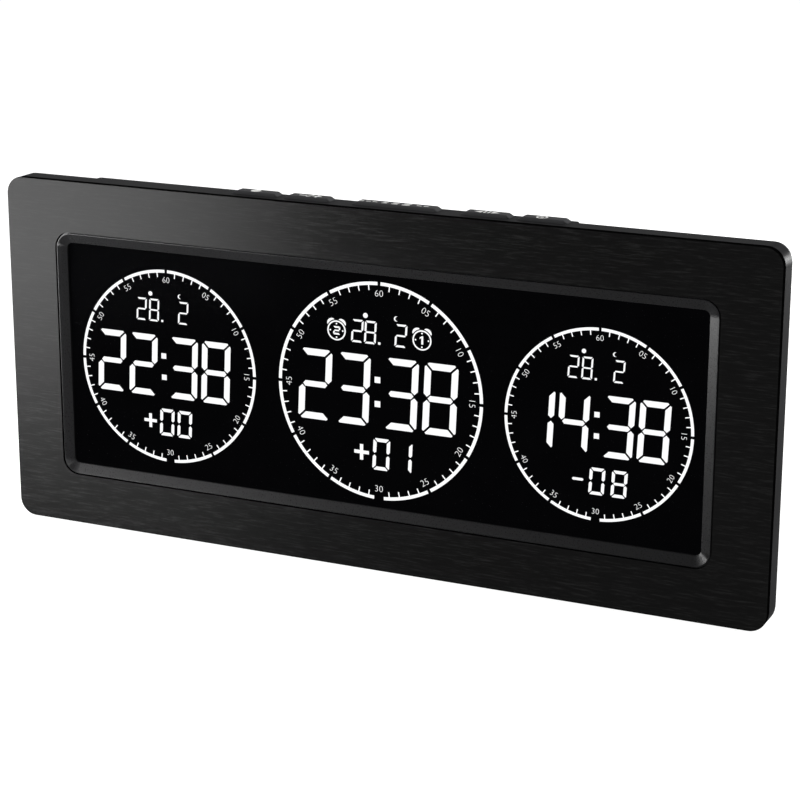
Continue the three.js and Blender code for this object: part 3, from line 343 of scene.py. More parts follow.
# The keys: silky, and paler than the wall as painted light that lifts their shaded fronts.
PAINTED_LIGHT_KEYS = moulded_plastic("painted_light_key_abs", "#404042", "#464647", 0.40, 0.01, 0.55, 0.004)
# The back: a coarse grain that hides scratches and breaks up the light.
REAR_ABS = moulded_plastic("spark_grain_abs", "#29292a", "#303031", 0.60, 0.05, 0.62, 0.16)
# Inside: a warm white carrier, a milky light guide, soft dull feet, a wet-looking dome, plain nylon.
WHITE_STYRENE = moulded_plastic("moulded_white_styrene", "#dedcd6", "#e6e4df", 0.80, 0.02, 0.45, 0.40)
FROSTED_ACRYLIC = moulded_plastic("frosted_acrylic", "#e4e8ea", "#eef1f2", 1.20, 0.01, 0.30, 0.50)
FOOT_RUBBER = moulded_plastic("moulded_silicone_rubber", "#191919", "#212121", 0.35, 0.06, 0.80, 0.30)
BLACK_EPOXY = moulded_plastic("cast_black_epoxy", "#0c0c0d", "#131314", 3.00, 0.04, 0.28, 0.45)
BLACK_NYLON = moulded_plastic("moulded_black_nylon", "#151516", "#1b1b1c", 0.50, 0.03, 0.55, 0.35)
print("outer plastics:", [m.name for m in (CASE_ABS, PAINTED_SHADE_ABS, SURROUND_ABS, PAINTED_LIGHT_KEYS, REAR_ABS)])

# %% [markdown]
# The display is a clear acrylic window over a black liquid crystal panel. Only the lit segments show:
# white backlight through clear shapes in a black glass. A coated window reflects very little, so the
# sheet is made almost wholly see-through, with a faint sheen left on it. Real refraction would take more
# samples and hardly move what lies behind so thin a sheet.

# %% Window, glass and lit segments
# Width of the wipe marks, of the backlight's leak and of its uneven patches, in millimetres.
SMEAR_MM, LEAK_MM, PATCH_MM = 35.0, 20.0, 60.0


def clear_acrylic():
    """Cast acrylic with an anti-reflective coat: clear, with a faint sheen."""
    material, tree = new_material("coated_clear_acrylic")
    place = add_node(tree, "ShaderNodeTexCoord").outputs["Object"]
    smear = add_node(tree, "ShaderNodeTexNoise",
                     {"Vector": place, "Scale": per_mm(SMEAR_MM), "Detail": 3.0}).outputs["Fac"]
    rough = add_node(tree, "ShaderNodeMapRange", {"Value": smear, "To Min": 0.08, "To Max": 0.16})
    sheet = add_node(tree, "ShaderNodeBsdfPrincipled", {
        "Base Color": hex_colour("#0a0a0b"), "Roughness": rough.outputs[0], "IOR": 1.49,
        "Specular IOR Level": 0.01, "Alpha": 0.02})
    add_node(tree, "ShaderNodeOutputMaterial", {"Surface": sheet.outputs[0]})
    return material


def black_lcd_glass():
    """Crossed polarisers between two glass plates: nothing comes back but a faint leak of the backlight."""
    material, tree = new_material("black_lcd_glass")
    place = add_node(tree, "ShaderNodeTexCoord").outputs["Object"]
    leak = add_node(tree, "ShaderNodeTexNoise",
                    {"Vector": place, "Scale": per_mm(LEAK_MM), "Detail": 2.0}).outputs["Fac"]
    tone = add_node(tree, "ShaderNodeValToRGB", {"Fac": leak}, ((0.0, "#030304"), (1.0, "#060607")))
    glass = add_node(tree, "ShaderNodeBsdfPrincipled", {
        "Base Color": hex_colour("#000000"), "Roughness": 0.25, "Specular IOR Level": 0.0, "IOR": 1.52,
        "Emission Color": tone.outputs[0], "Emission Strength": 1.0})
    add_node(tree, "ShaderNodeOutputMaterial", {"Surface": glass.outputs[0]})
    return material


def lit_segment():
    """Backlit liquid crystal: cool white, with the faint unevenness of a light guide."""
    material, tree = new_material("backlit_white_segment")
    place = add_node(tree, "ShaderNodeTexCoord").outputs["Object"]
    patch = add_node(tree, "ShaderNodeTexNoise",
                     {"Vector": place, "Scale": per_mm(PATCH_MM), "Detail": 1.0}).outputs["Fac"]
    tone = add_node(tree, "ShaderNodeValToRGB", {"Fac": patch}, ((0.0, "#f8f9fb"), (1.0, "#ffffff")))
    light = add_node(tree, "ShaderNodeBsdfPrincipled", {
        "Base Color": hex_colour("#101010"), "Roughness": 0.6, "Specular IOR Level": 0.0,
        "Emission Color": tone.outputs[0], "Emission Strength": 1.12})
    add_node(tree, "ShaderNodeOutputMaterial", {"Surface": light.outputs[0]})
    return material


WINDOW_CLEAR = clear_acrylic()
LCD_BLACK = black_lcd_glass()
SEGMENT_LIT = lit_segment()
print("display finishes:", WINDOW_CLEAR.name, LCD_BLACK.name, SEGMENT_LIT.name)

# %% [markdown]
# Flat marks such as segments and legends are thin closed prisms, so they export as real shapes.
# One helper turns outlines on the face into prisms, another turns a finished mesh into a piece that
# rides on its body.

# %% Prisms and pieces
FACE_LOW, FACE_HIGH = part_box("face_plate")
FACE_MID_Z = (FACE_LOW.z + FACE_HIGH.z) / 2


def prism(mesh, outline, near, far):
    """Adds a closed prism: the outline's points, first carried by near, then by far."""
    front = [mesh.verts.new(near(p)) for p in outline]
    back = [mesh.verts.new(far(p)) for p in outline]
    mesh.faces.new(front)
    mesh.faces.new(back[::-1])
    count = len(outline)
    for i in range(count):
        j = (i + 1) % count
        mesh.faces.new((front[j], front[i], back[i], back[j]))


def ring_prism(mesh, inner, outer, near, far):
    """Adds a closed flat ring between two outlines with as many points."""
    loops = [[mesh.verts.new(carry(p)) for p in line] for carry, line in
             ((near, outer), (near, inner), (far, inner), (far, outer))]
    count = len(inner)
    for a, b in zip(loops, loops[1:] + loops[:1]):
        for i in range(count):
            j = (i + 1) % count
            mesh.faces.new((a[i], a[j], b[j], b[i]))


def piece(name, mesh, material, body, smooth_angle=None):
    """A finished object from a bmesh, riding on a body, with outward faces."""
    bmesh.ops.recalc_face_normals(mesh, faces=mesh.faces)
    data = bpy.data.meshes.new(name)
    mesh.to_mesh(data)
    mesh.free()
    data.materials.append(material)
    if smooth_angle is not None:
        data.shade_smooth()
        data.set_sharp_from_angle(angle=math.radians(smooth_angle))
    made = bpy.data.objects.new(name, data)
    scene.collection.objects.link(made)
    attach(made, body)
    return made


def circle_points(radius, at, count):
    """Points on a circle about a point, anticlockwise from the right."""
    angles = [2 * math.pi * i / count for i in range(count)]
    return [(at[0] + radius * math.cos(a), at[1] + radius * math.sin(a)) for a in angles]


print("face in mm:", [round(v / MM, 1) for v in FACE_HIGH - FACE_LOW])

# %% [markdown]
# The plate is a flat sheet with a window punched out of it. Cutting the window with a boolean would leave
# uneven triangles, so the plate is one closed ring. Its loops run round the outer edge, over a small broken
# edge to the front, in to the window and back along the rear. A narrow support loop beside each edge keeps
# the front flat and lets only the edge catch the light.

# %% Face plate
# Sizes in millimetres.
PLATE_CORNER = 8.0
PLATE_EDGE = 0.25
PLATE_SUPPORT = 0.18
HOLE_EDGE = 0.12
UV_UNIT = 100.0
CORNER_STEPS = 20
# Edges sharper than this many degrees stay sharp. Faces that look less to the front than the share are rim,
# with painted shade.
PLATE_SMOOTH = 20
FLAT_SHARE = 0.95
RIM_SHADE_SLOT = 1
PLATE_SIZE = ((FACE_HIGH.x - FACE_LOW.x) / MM, (FACE_HIGH.z - FACE_LOW.z) / MM)
PLATE_THICK = (FACE_HIGH.y - FACE_LOW.y) / MM
WINDOW_SIZE = (300.8, 103.4)
WINDOW_CORNER = 2.6
SURROUND_RUN = 4.5
SURROUND_GROOVE = 0.5


def grown_loop(size, radius, grow):
    """Points of a rounded rectangle about the face's middle, grown outwards by some millimetres."""
    half_wide, half_high, corner = size[0] / 2 + grow, size[1] / 2 + grow, radius + grow
    points = []
    for side_x, side_z, start in ((1, 1, 0), (-1, 1, 90), (-1, -1, 180), (1, -1, 270)):
        for i in range(CORNER_STEPS + 1):
            angle = math.radians(start + 90 * i / CORNER_STEPS)
            points.append((side_x * (half_wide - corner) + corner * math.cos(angle),
                           side_z * (half_high - corner) + corner * math.sin(angle)))
    return points


def on_face(depth_mm):
    """Carries a face point in millimetres to the frame, at a depth behind the front."""
    y = FACE_LOW.y + depth_mm * MM
    return lambda p: Vector((p[0] * MM, y, FACE_MID_Z + p[1] * MM))


def face_plate():
    """The plate with its window cut-out and its brushing direction as a UV map."""
    hole = SURROUND_RUN + SURROUND_GROOVE
    turn = PLATE_EDGE * (1 - math.sqrt(0.5))
    loops = [
        (grown_loop(PLATE_SIZE, PLATE_CORNER, 0), PLATE_THICK),
        (grown_loop(PLATE_SIZE, PLATE_CORNER, 0), PLATE_EDGE),
        (grown_loop(PLATE_SIZE, PLATE_CORNER, -turn), turn),
        (grown_loop(PLATE_SIZE, PLATE_CORNER, -PLATE_EDGE), 0),
        (grown_loop(PLATE_SIZE, PLATE_CORNER, -PLATE_EDGE - PLATE_SUPPORT), 0),
        (grown_loop(WINDOW_SIZE, WINDOW_CORNER, hole + HOLE_EDGE + PLATE_SUPPORT), 0),
        (grown_loop(WINDOW_SIZE, WINDOW_CORNER, hole + HOLE_EDGE), 0),
        (grown_loop(WINDOW_SIZE, WINDOW_CORNER, hole), HOLE_EDGE),
        (grown_loop(WINDOW_SIZE, WINDOW_CORNER, hole), PLATE_THICK),
    ]
    mesh = bmesh.new()
    rows = [[mesh.verts.new(on_face(depth)(p)) for p in line] for line, depth in loops]
    count = len(rows[0])
    for a, b in zip(rows, rows[1:] + rows[:1]):
        for i in range(count):
            j = (i + 1) % count
            mesh.faces.new((a[i], a[j], b[j], b[i]))
    brush = mesh.loops.layers.uv.new(BRUSH_UV)
    for face in mesh.faces:
        for corner in face.loops:
            x, y, z = corner.vert.co / MM / UV_UNIT
            corner[brush].uv = (z + y, x + y)
    made = piece("brushed_face_plate", mesh, PLATE_METAL, "clock", PLATE_SMOOTH)
    # The rim gets a painted shade: black without reflection.
    made.data.materials.append(PAINTED_SHADE_RIM)
    for face in made.data.polygons:
        if abs(face.normal.y) < FLAT_SHARE:
            face.material_index = RIM_SHADE_SLOT
    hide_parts("face_plate")
    return made


plate = face_plate()
print("plate faces:", len(plate.data.polygons))

# %% [markdown]
# What is lit on the display lies in a thin layer between the window and the front glass. The three dials
# differ in size but share one layout, so each has its own centre and radius, and everything on it is
# given as a share of that radius.

# %% Display layer and dials
LAYER_GAP = 0.02
LAYER_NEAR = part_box("display_window")[1].y + LAYER_GAP * MM
LAYER_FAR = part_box("lcd_front_glass")[0].y - LAYER_GAP * MM
# Centre from the middle of the face, and outer radius of the ring, in millimetres.
DIALS = {
    "left": {"at": (-101.1, -1.35), "radius": 44.5},
    "middle": {"at": (3.43, -0.36), "radius": 48.5},
    "right": {"at": (103.3, -2.53), "radius": 41.5},
}
print("display layer in mm:", round((LAYER_FAR - LAYER_NEAR) / MM, 3))

# %% [markdown]
# Round each dial runs a ring of twelve arcs, with a wide gap at its foot, and ticks on the minutes between.
# They could be placed one by one in a loop. What repeats round a circle suits Geometry Nodes better: an arc
# and a tick are made once, then turned by their index. The sizes are inputs, so all dials use one tree.

# %% Minute track tree
TRACK_SIZES = ("Ring Radius", "Ring Width", "Arc Start", "Arc Sweep", "Right Start", "Left Start",
               "Short Sweep", "Tick Radius", "Tick Length", "Tick Width", "Thickness")
MINUTES = 60
ARCS = 12
MINUTES_PER_ARC = MINUTES // ARCS
ARC_POINTS = 25
TWELFTH = math.radians(360 / ARCS)
# Counted anticlockwise from the right, the arcs on either side of the wide gap.
FOOT_ARCS = (8, 9)


def minute_track_tree(material):
    """Geometry Nodes: ring arcs and minute ticks about the origin, stood up on the face."""
    tree = bpy.data.node_groups.new("minute_track", "GeometryNodeTree")
    for name in TRACK_SIZES:
        tree.interface.new_socket(name=name, in_out="INPUT", socket_type="NodeSocketFloat")
    tree.interface.new_socket(name="Centre", in_out="INPUT", socket_type="NodeSocketVector")
    tree.interface.new_socket(name="Geometry", in_out="OUTPUT", socket_type="NodeSocketGeometry")
    given = add_node(tree, "NodeGroupInput").outputs
    index = add_node(tree, "GeometryNodeInputIndex").outputs[0]
    band = add_node(tree, "GeometryNodeCurvePrimitiveQuadrilateral",
                    {"Width": given["Ring Width"], "Height": given["Thickness"]}).outputs[0]

    def arc(start, sweep):
        """A flat piece of the ring."""
        line = add_node(tree, "GeometryNodeCurveArc", {
            "Resolution": ARC_POINTS, "Radius": given["Ring Radius"], "Start Angle": start,
            "Sweep Angle": sweep})
        swept = add_node(tree, "GeometryNodeCurveToMesh",
                         {"Curve": line.outputs[0], "Profile Curve": band, "Fill Caps": True})
        return swept.outputs[0]

    def turned(step):
        """The turn of each copy about the dial's centre."""
        angle = add_node(tree, "ShaderNodeMath", {0: index, 1: step}, operation="MULTIPLY")
        return add_node(tree, "ShaderNodeCombineXYZ", {"Z": angle.outputs[0]}).outputs[0]

    whole = arc(given["Arc Start"], given["Arc Sweep"])
    short_right = arc(given["Right Start"], given["Short Sweep"])
    short_left = arc(given["Left Start"], given["Short Sweep"])
    at_foot = [add_node(tree, "FunctionNodeCompare", {2: index, 3: count},
                        data_type="INT", operation="EQUAL").outputs[0] for count in FOOT_ARCS]
    elsewhere = add_node(tree, "FunctionNodeBooleanMath", {0: at_foot[0], 1: at_foot[1]}, operation="NOR")
    spots = add_node(tree, "GeometryNodePoints", {"Count": ARCS})
    arcs = add_node(tree, "GeometryNodeInstanceOnPoints", {
        "Points": spots.outputs[0], "Selection": elsewhere.outputs[0], "Instance": whole,
        "Rotation": turned(TWELFTH)})

    tick_size = add_node(tree, "ShaderNodeCombineXYZ",
                         {"X": given["Tick Length"], "Y": given["Tick Width"], "Z": given["Thickness"]})
    tick_place = add_node(tree, "ShaderNodeCombineXYZ", {"X": given["Tick Radius"]})
    tick = add_node(tree, "GeometryNodeMeshCube", {"Size": tick_size.outputs[0]})
    tick_out = add_node(tree, "GeometryNodeTransform",
                        {"Geometry": tick.outputs["Mesh"], "Translation": tick_place.outputs[0]})
    past_number = add_node(tree, "ShaderNodeMath", {0: index, 1: float(MINUTES_PER_ARC)}, operation="MODULO")
    between = add_node(tree, "FunctionNodeCompare", {0: past_number.outputs[0], 1: 0.5},
                       data_type="FLOAT", operation="GREATER_THAN")
    minutes = add_node(tree, "GeometryNodePoints", {"Count": MINUTES})
    ticks = add_node(tree, "GeometryNodeInstanceOnPoints", {
        "Points": minutes.outputs[0], "Selection": between.outputs[0], "Instance": tick_out.outputs[0],
        "Rotation": turned(TWELFTH / MINUTES_PER_ARC)})

    joined = add_node(tree, "GeometryNodeJoinGeometry")
    for part in (arcs.outputs[0], ticks.outputs[0], short_right, short_left):
        tree.links.new(part, joined.inputs[0])
    stood = add_node(tree, "GeometryNodeTransform", {
        "Geometry": joined.outputs[0], "Translation": given["Centre"], "Rotation": (math.radians(90), 0, 0)})
    real = add_node(tree, "GeometryNodeRealizeInstances", {"Geometry": stood.outputs[0]})
    dressed = add_node(tree, "GeometryNodeSetMaterial", {"Geometry": real.outputs[0], "Material": material})
    add_node(tree, "NodeGroupOutput", {"Geometry": dressed.outputs[0]})
    return tree


track_tree = minute_track_tree(SEGMENT_LIT)
print("nodes of the minute track:", len(track_tree.nodes))

# %% [markdown]
# The tree runs once for each dial on a carrier that is thrown away. Its result is kept as a plain mesh,
# because the export knows nothing of instances. Sizes are worked out here from the shares, so the tree
# itself needs hardly any sums.

# %% Minute tracks
# Shares of the ring's outer radius.
RING_WIDTH = 0.030
TICK_LENGTH = 0.046
TICK_WIDTH = 0.0106
ARC_GAP = math.radians(1.7)
FOOT_GAP = math.radians(5.6)
FOOT_AT = math.radians(-90)


def grown_mesh(name, tree, inputs):
    """A plain mesh from a Geometry Nodes tree, with its inputs set by name."""
    carrier = bpy.data.objects.new(name + "_carrier", bpy.data.meshes.new(name + "_carrier"))
    scene.collection.objects.link(carrier)
    modifier = carrier.modifiers.new("grow", "NODES")
    modifier.node_group = tree
    for item in tree.interface.items_tree:
        if item.item_type == "SOCKET" and item.in_out == "INPUT":
            modifier[item.identifier] = inputs[item.name]
    data = bpy.data.meshes.new_from_object(carrier.evaluated_get(bpy.context.evaluated_depsgraph_get()))
    data.name = name
    bpy.data.objects.remove(carrier)
    return data


for side, dial in DIALS.items():
    radius = dial["radius"] * MM
    centre = (dial["at"][0] * MM, (LAYER_NEAR + LAYER_FAR) / 2, FACE_MID_Z + dial["at"][1] * MM)
    track_data = grown_mesh(side + "_minute_track", track_tree, {
        "Ring Radius": radius * (1 - RING_WIDTH / 2), "Ring Width": radius * RING_WIDTH,
        "Arc Start": ARC_GAP / 2, "Arc Sweep": TWELFTH - ARC_GAP,
        "Right Start": FOOT_AT + FOOT_GAP / 2, "Left Start": FOOT_AT - TWELFTH + ARC_GAP / 2,
        "Short Sweep": TWELFTH - (ARC_GAP + FOOT_GAP) / 2,
        "Tick Radius": radius * (1 - RING_WIDTH - TICK_LENGTH / 2), "Tick Length": radius * TICK_LENGTH,
        "Tick Width": radius * TICK_WIDTH, "Thickness": LAYER_FAR - LAYER_NEAR, "Centre": centre})
    track = bpy.data.objects.new(side + "_minute_track", track_data)
    scene.collection.objects.link(track)
    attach(track, "clock")
    low = [min(v.co[k] for v in track_data.vertices) / MM for k in range(3)]
    high = [max(v.co[k] for v in track_data.vertices) / MM for k in range(3)]
    print(side, "track from", [round(v, 2) for v in low], "to", [round(v, 2) for v in high])

# %% [markdown]
# The digits are seven-segment shapes with mitred ends and a small gap between neighbours. A font could
# give such digits, but not these ends. So three bars are drawn, the top one, the upper right one and the
# middle one, and the others are mirror images of them.

# %% Seven-segment digits
LIT = {"0": "abcdef", "1": "bc", "2": "abdeg", "3": "abcdg", "4": "bcfg", "5": "acdfg", "6": "acdefg",
       "7": "abc", "8": "abcdefg", "9": "abcdfg", "-": "g"}
# Shares of the bar's thickness.
TIP_CLIP = 0.20
TIP_EDGE = 0.38
WAIST_CLIP = 0.73
WAIST_POINT = 0.24
WAIST_INNER = 0.66
BAR_POINT = 0.66
BAR_HALF = 0.42


def segment_outlines(width, half_height, thick, gap):
    """Outlines of the segments a to g about the digit's middle."""
    w, h, t = width / 2, half_height, thick
    e = gap * math.sqrt(0.5)
    top = [(w - e - TIP_EDGE * t, h), (w - e - TIP_CLIP * t, h - TIP_CLIP * t), (w - e - t, h - t)]
    top = top + [(-x, y) for x, y in reversed(top)]
    side = [(w, h - e - TIP_EDGE * t), (w, WAIST_CLIP * t), (w - 0.5 * t, WAIST_POINT * t),
            (w - t, WAIST_INNER * t), (w - t, h - t - e), (w - TIP_CLIP * t, h - e - TIP_CLIP * t)]
    point, half = w - BAR_POINT * t, BAR_HALF * t
    middle = [(point, 0), (w - t, half), (t - w, half), (-point, 0), (t - w, -half), (w - t, -half)]
    return {"a": top, "b": side, "c": [(x, -y) for x, y in side], "d": [(x, -y) for x, y in top],
            "e": [(-x, -y) for x, y in side], "f": [(-x, y) for x, y in side], "g": middle}


def digit_outlines(sign, right_top, top, bottom, width, thick, gap, slant):
    """A digit's lit segments in dial shares: right_top is its right edge at the top, slant leans it over."""
    half_height = (top - bottom) / 2
    middle = (top + bottom) / 2
    shapes = segment_outlines(width, half_height, thick, gap)
    lean = slant / (2 * half_height)
    x0 = right_top - width / 2 - slant / 2
    return [[(x0 + x + lean * y, middle + y) for x, y in shapes[name]] for name in LIT[sign]]


def square(x, y, size):
    """A small square about a point."""
    s = size / 2
    return [(x - s, y - s), (x + s, y - s), (x + s, y + s), (x - s, y + s)]


print("segments of an eight:", len(LIT["8"]))

# %% [markdown]
# Each dial reads a time, a date and the hours of its place before or after the standard hour. A disc marks
# the day and a moon the month. The digits lean a little, so their places were measured where it is
# easiest, on the right edge at the top.

# %% Readings on each dial
# Shares of the ring's radius, from the dial's centre.
TIME_STYLE = {"width": 0.322, "thick": 0.062, "gap": 0.020, "slant": 0.028}
DATE_STYLE = {"width": 0.114, "thick": 0.0178, "gap": 0.009, "slant": 0.012}
ZONE_STYLE = {"width": 0.165, "thick": 0.032, "gap": 0.012, "slant": 0.014}
READINGS = {
    "left": {
        "time": "2238", "time_at": (-0.481, -0.113, 0.351, 0.7226), "time_rows": (0.320, -0.318),
        "colon_at": -0.048, "marks_at": ((-0.185, 0.743), (0.154, 0.743)), "dot_at": (-0.055, 0.473),
        "date": "282", "date_at": (-0.2277, -0.0839, 0.2517), "date_rows": (0.692, 0.4606),
        "zone": "+00", "zone_at": (-0.140, 0.062, 0.266), "zone_rows": (-0.4418, -0.7243)},
    "middle": {
        "time": "2338", "time_at": (-0.4576, -0.0788, 0.3894, 0.7682), "time_rows": (0.327, -0.327),
        "colon_at": -0.015, "marks_at": ((-0.132, 0.686), (0.168, 0.686)), "dot_at": (0.003, 0.4455),
        "date": "282", "date_at": (-0.1485, -0.0212, 0.2758), "date_rows": (0.641, 0.433),
        "zone": "+01", "zone_at": (-0.090, 0.112, 0.330), "zone_rows": (-0.427, -0.7227)},
    "right": {
        "time": "1438", "time_at": (-0.4538, -0.082, 0.394, 0.7637), "time_rows": (0.320, -0.318),
        "colon_at": -0.0103, "marks_at": ((-0.164, 0.747), (0.163, 0.747)), "dot_at": (-0.0325, 0.473),
        "date": "282", "date_at": (-0.207, -0.0616, 0.274), "date_rows": (0.692, 0.4606),
        "zone": "-08", "zone_at": (-0.108, 0.096, 0.332), "zone_rows": (-0.4418, -0.7243)},
}
COLON_SIZE = 0.055
COLON_UP = 0.111
DOT_SIZE = 0.022
MARK_RADIUS = 0.023
MARK_STEPS = 20
# Reach of a plus sign as a share of its width.
PLUS_REACH = 0.44
# Start and run of the moon's outer arc in degrees; shift and size of its inner one, in shares of its radius.
MOON_START, MOON_RUN = 60, 240
MOON_SHIFT, MOON_INNER = 0.45, 0.87
MOON_STEPS = 16


def plus_outline(right_top, top, bottom, width, thick):
    """A plus sign in the box of one character."""
    x, y = right_top - width / 2, (top + bottom) / 2
    a, t = width * PLUS_REACH, thick / 2
    return [(x - a, y - t), (x - t, y - t), (x - t, y - a), (x + t, y - a), (x + t, y - t), (x + a, y - t),
            (x + a, y + t), (x + t, y + t), (x + t, y + a), (x - t, y + a), (x - t, y + t), (x - a, y + t)]


def crescent(x, y, radius):
    """A moon: an outer arc and a shallower inner one."""
    outer = [math.radians(MOON_START + MOON_RUN * i / MOON_STEPS) for i in range(MOON_STEPS + 1)]
    inner = [math.radians(270 - 180 * i / MOON_STEPS) for i in range(1, MOON_STEPS)]
    return ([(x + radius * math.cos(a), y + radius * math.sin(a)) for a in outer]
            + [(x + radius * (MOON_SHIFT + MOON_INNER * math.cos(a)), y + radius * MOON_INNER * math.sin(a))
               for a in inner])


def reading_outlines(reading):
    """All filled outlines of one dial's reading, in dial shares."""
    shapes = []
    for sign, right in zip(reading["time"], reading["time_at"]):
        shapes += digit_outlines(sign, right, *reading["time_rows"], **TIME_STYLE)
    for up in (COLON_UP, -COLON_UP):
        shapes.append(square(reading["colon_at"], up, COLON_SIZE))
    for sign, right in zip(reading["date"], reading["date_at"]):
        shapes += digit_outlines(sign, right, *reading["date_rows"], **DATE_STYLE)
    shapes.append(square(*reading["dot_at"], DOT_SIZE))
    for sign, right in zip(reading["zone"], reading["zone_at"]):
        if sign == "+":
            wide, thick = ZONE_STYLE["width"], ZONE_STYLE["thick"]
            shapes.append(plus_outline(right, *reading["zone_rows"], wide, thick))
        else:
            shapes += digit_outlines(sign, right, *reading["zone_rows"], **ZONE_STYLE)
    day_at, month_at = reading["marks_at"]
    shapes.append(circle_points(MARK_RADIUS, day_at, MARK_STEPS))
    shapes.append(crescent(*month_at, MARK_RADIUS))
    return shapes


print("shapes lit on each dial:", [len(reading_outlines(reading)) for reading in READINGS.values()])

# %% [markdown]
# Two small alarm clocks stand beside the date on the middle dial: a ring, two bells, four hour dots and
# a number. They are the usual sign for an alarm and carry no name. A few points each are enough at this
# size, so they are drawn as outlines like the digits.

# %% Alarm signs
# Places and sizes in shares of the dial's radius.
ALARM_SIGNS = ((-0.4167, 0.5197, "2"), (0.4152, 0.5197, "1"))
ALARM_RADIUS = 0.091
ALARM_STROKE = 0.0126
ALARM_STEPS = 40
BELL_LOW, BELL_HIGH = 0.101, 0.124
BELL_LEAN = math.radians(36)
BELL_SPREAD = math.radians(24)
BELL_ROUND = 0.6
BELL_STEPS = 12
HOUR_DOT, HOUR_DOT_AT = 0.0075, 0.062
HOUR_DOTS, HOUR_DOT_STEPS = 4, 12
ONE_SHAPE = ((0.012, -0.037), (0.012, 0.037), (-0.002, 0.037), (-0.022, 0.024), (-0.022, 0.011),
             (-0.006, 0.020), (-0.006, -0.037))
TWO_RIGHT, TWO_UP = 0.037, 0.038
TWO_STYLE = {"width": 0.070, "thick": 0.015, "gap": 0.003, "slant": 0.0}


def bell(x, y, side):
    """A cap over the rim of the little clock. Side is 1 for the right bell and -1 for the left one."""
    middle = math.pi / 2 - BELL_LEAN * side
    points = []
    for i in range(BELL_STEPS + 1):
        points.append((BELL_LOW, middle + BELL_SPREAD * (2 * i / BELL_STEPS - 1)))
    for i in range(1, BELL_STEPS):
        crown = math.sin(math.pi * i / BELL_STEPS) ** BELL_ROUND
        turn = BELL_SPREAD * (1 - 2 * i / BELL_STEPS)
        points.append((BELL_LOW + (BELL_HIGH - BELL_LOW) * crown, middle + turn))
    return [(x + out * math.cos(angle), y + out * math.sin(angle)) for out, angle in points]


def alarm_sign(x, y, sign):
    """Filled outlines of a little alarm clock, without its ring."""
    shapes = [bell(x, y, 1), bell(x, y, -1)]
    for dot_at in circle_points(HOUR_DOT_AT, (x, y), HOUR_DOTS):
        shapes.append(circle_points(HOUR_DOT, dot_at, HOUR_DOT_STEPS))
    if sign == "1":
        shapes.append([(x + a, y + b) for a, b in ONE_SHAPE])
    else:
        shapes += digit_outlines(sign, x + TWO_RIGHT, y + TWO_UP, y - TWO_UP, **TWO_STYLE)
    return shapes


print("shapes of each alarm sign:", [len(alarm_sign(*place)) for place in ALARM_SIGNS])

# %% [markdown]
# Now the outlines become thin closed prisms in the display layer, one piece for each dial. A picture on
# the glass would look the same from the front, but real shapes stay sharp at any distance.


# %% Lit readings
def on_dial(dial, y):
    """Carries a point in shares of the dial's radius to the frame, at a depth y."""
    radius = dial["radius"]
    x0, z0 = dial["at"]
    return lambda p: Vector(((x0 + p[0] * radius) * MM, y, FACE_MID_Z + (z0 + p[1] * radius) * MM))


for side, dial in DIALS.items():
    near, far = on_dial(dial, LAYER_NEAR), on_dial(dial, LAYER_FAR)
    mesh = bmesh.new()
    for outline in reading_outlines(READINGS[side]):
        prism(mesh, outline, near, far)
    if side == "middle":
        for x, y, sign in ALARM_SIGNS:
            ring_prism(mesh, circle_points(ALARM_RADIUS - ALARM_STROKE, (x, y), ALARM_STEPS),
                       circle_points(ALARM_RADIUS, (x, y), ALARM_STEPS), near, far)
            for outline in alarm_sign(x, y, sign):
                prism(mesh, outline, near, far)
    made = piece(side + "_reading", mesh, SEGMENT_LIT, "clock")
    print(side, "reading faces:", len(made.data.polygons))

# %% [markdown]
# Numbers every five minutes follow the ring. Drawing them by hand would be slow, so each is a text object
# made into a mesh, thinned a little and turned about the dial. The upper ones stand with their tops
# outwards, the lower ones stay readable.

# %% Numbers round the dials
NUMBER_AT = 0.898
NUMBER_HEIGHT = 0.057
NUMBER_THIN = -0.024
NUMBER_MERGE = 1e-4
# Between these angles from the top, in degrees, a number is turned to stay readable.
READABLE_FROM, READABLE_TO = 100, 260


def number_mesh(text):
    """A flat mesh of one number, one unit tall and centred."""
    curve = bpy.data.curves.new("minute_number", "FONT")
    curve.body = text
    curve.align_x = "CENTER"
    curve.resolution_u = 3
    curve.offset = NUMBER_THIN
    holder = bpy.data.objects.new("minute_number", curve)
    scene.collection.objects.link(holder)
    data = bpy.data.meshes.new_from_object(holder.evaluated_get(bpy.context.evaluated_depsgraph_get()))
    bpy.data.objects.remove(holder)
    xs = [v.co.x for v in data.vertices]
    ys = [v.co.y for v in data.vertices]
    tall = max(ys) - min(ys)
    centre = Vector(((min(xs) + max(xs)) / 2, (min(ys) + max(ys)) / 2, 0))
    data.transform(Matrix.Scale(1 / tall, 4) @ Matrix.Translation(-centre))
    return data


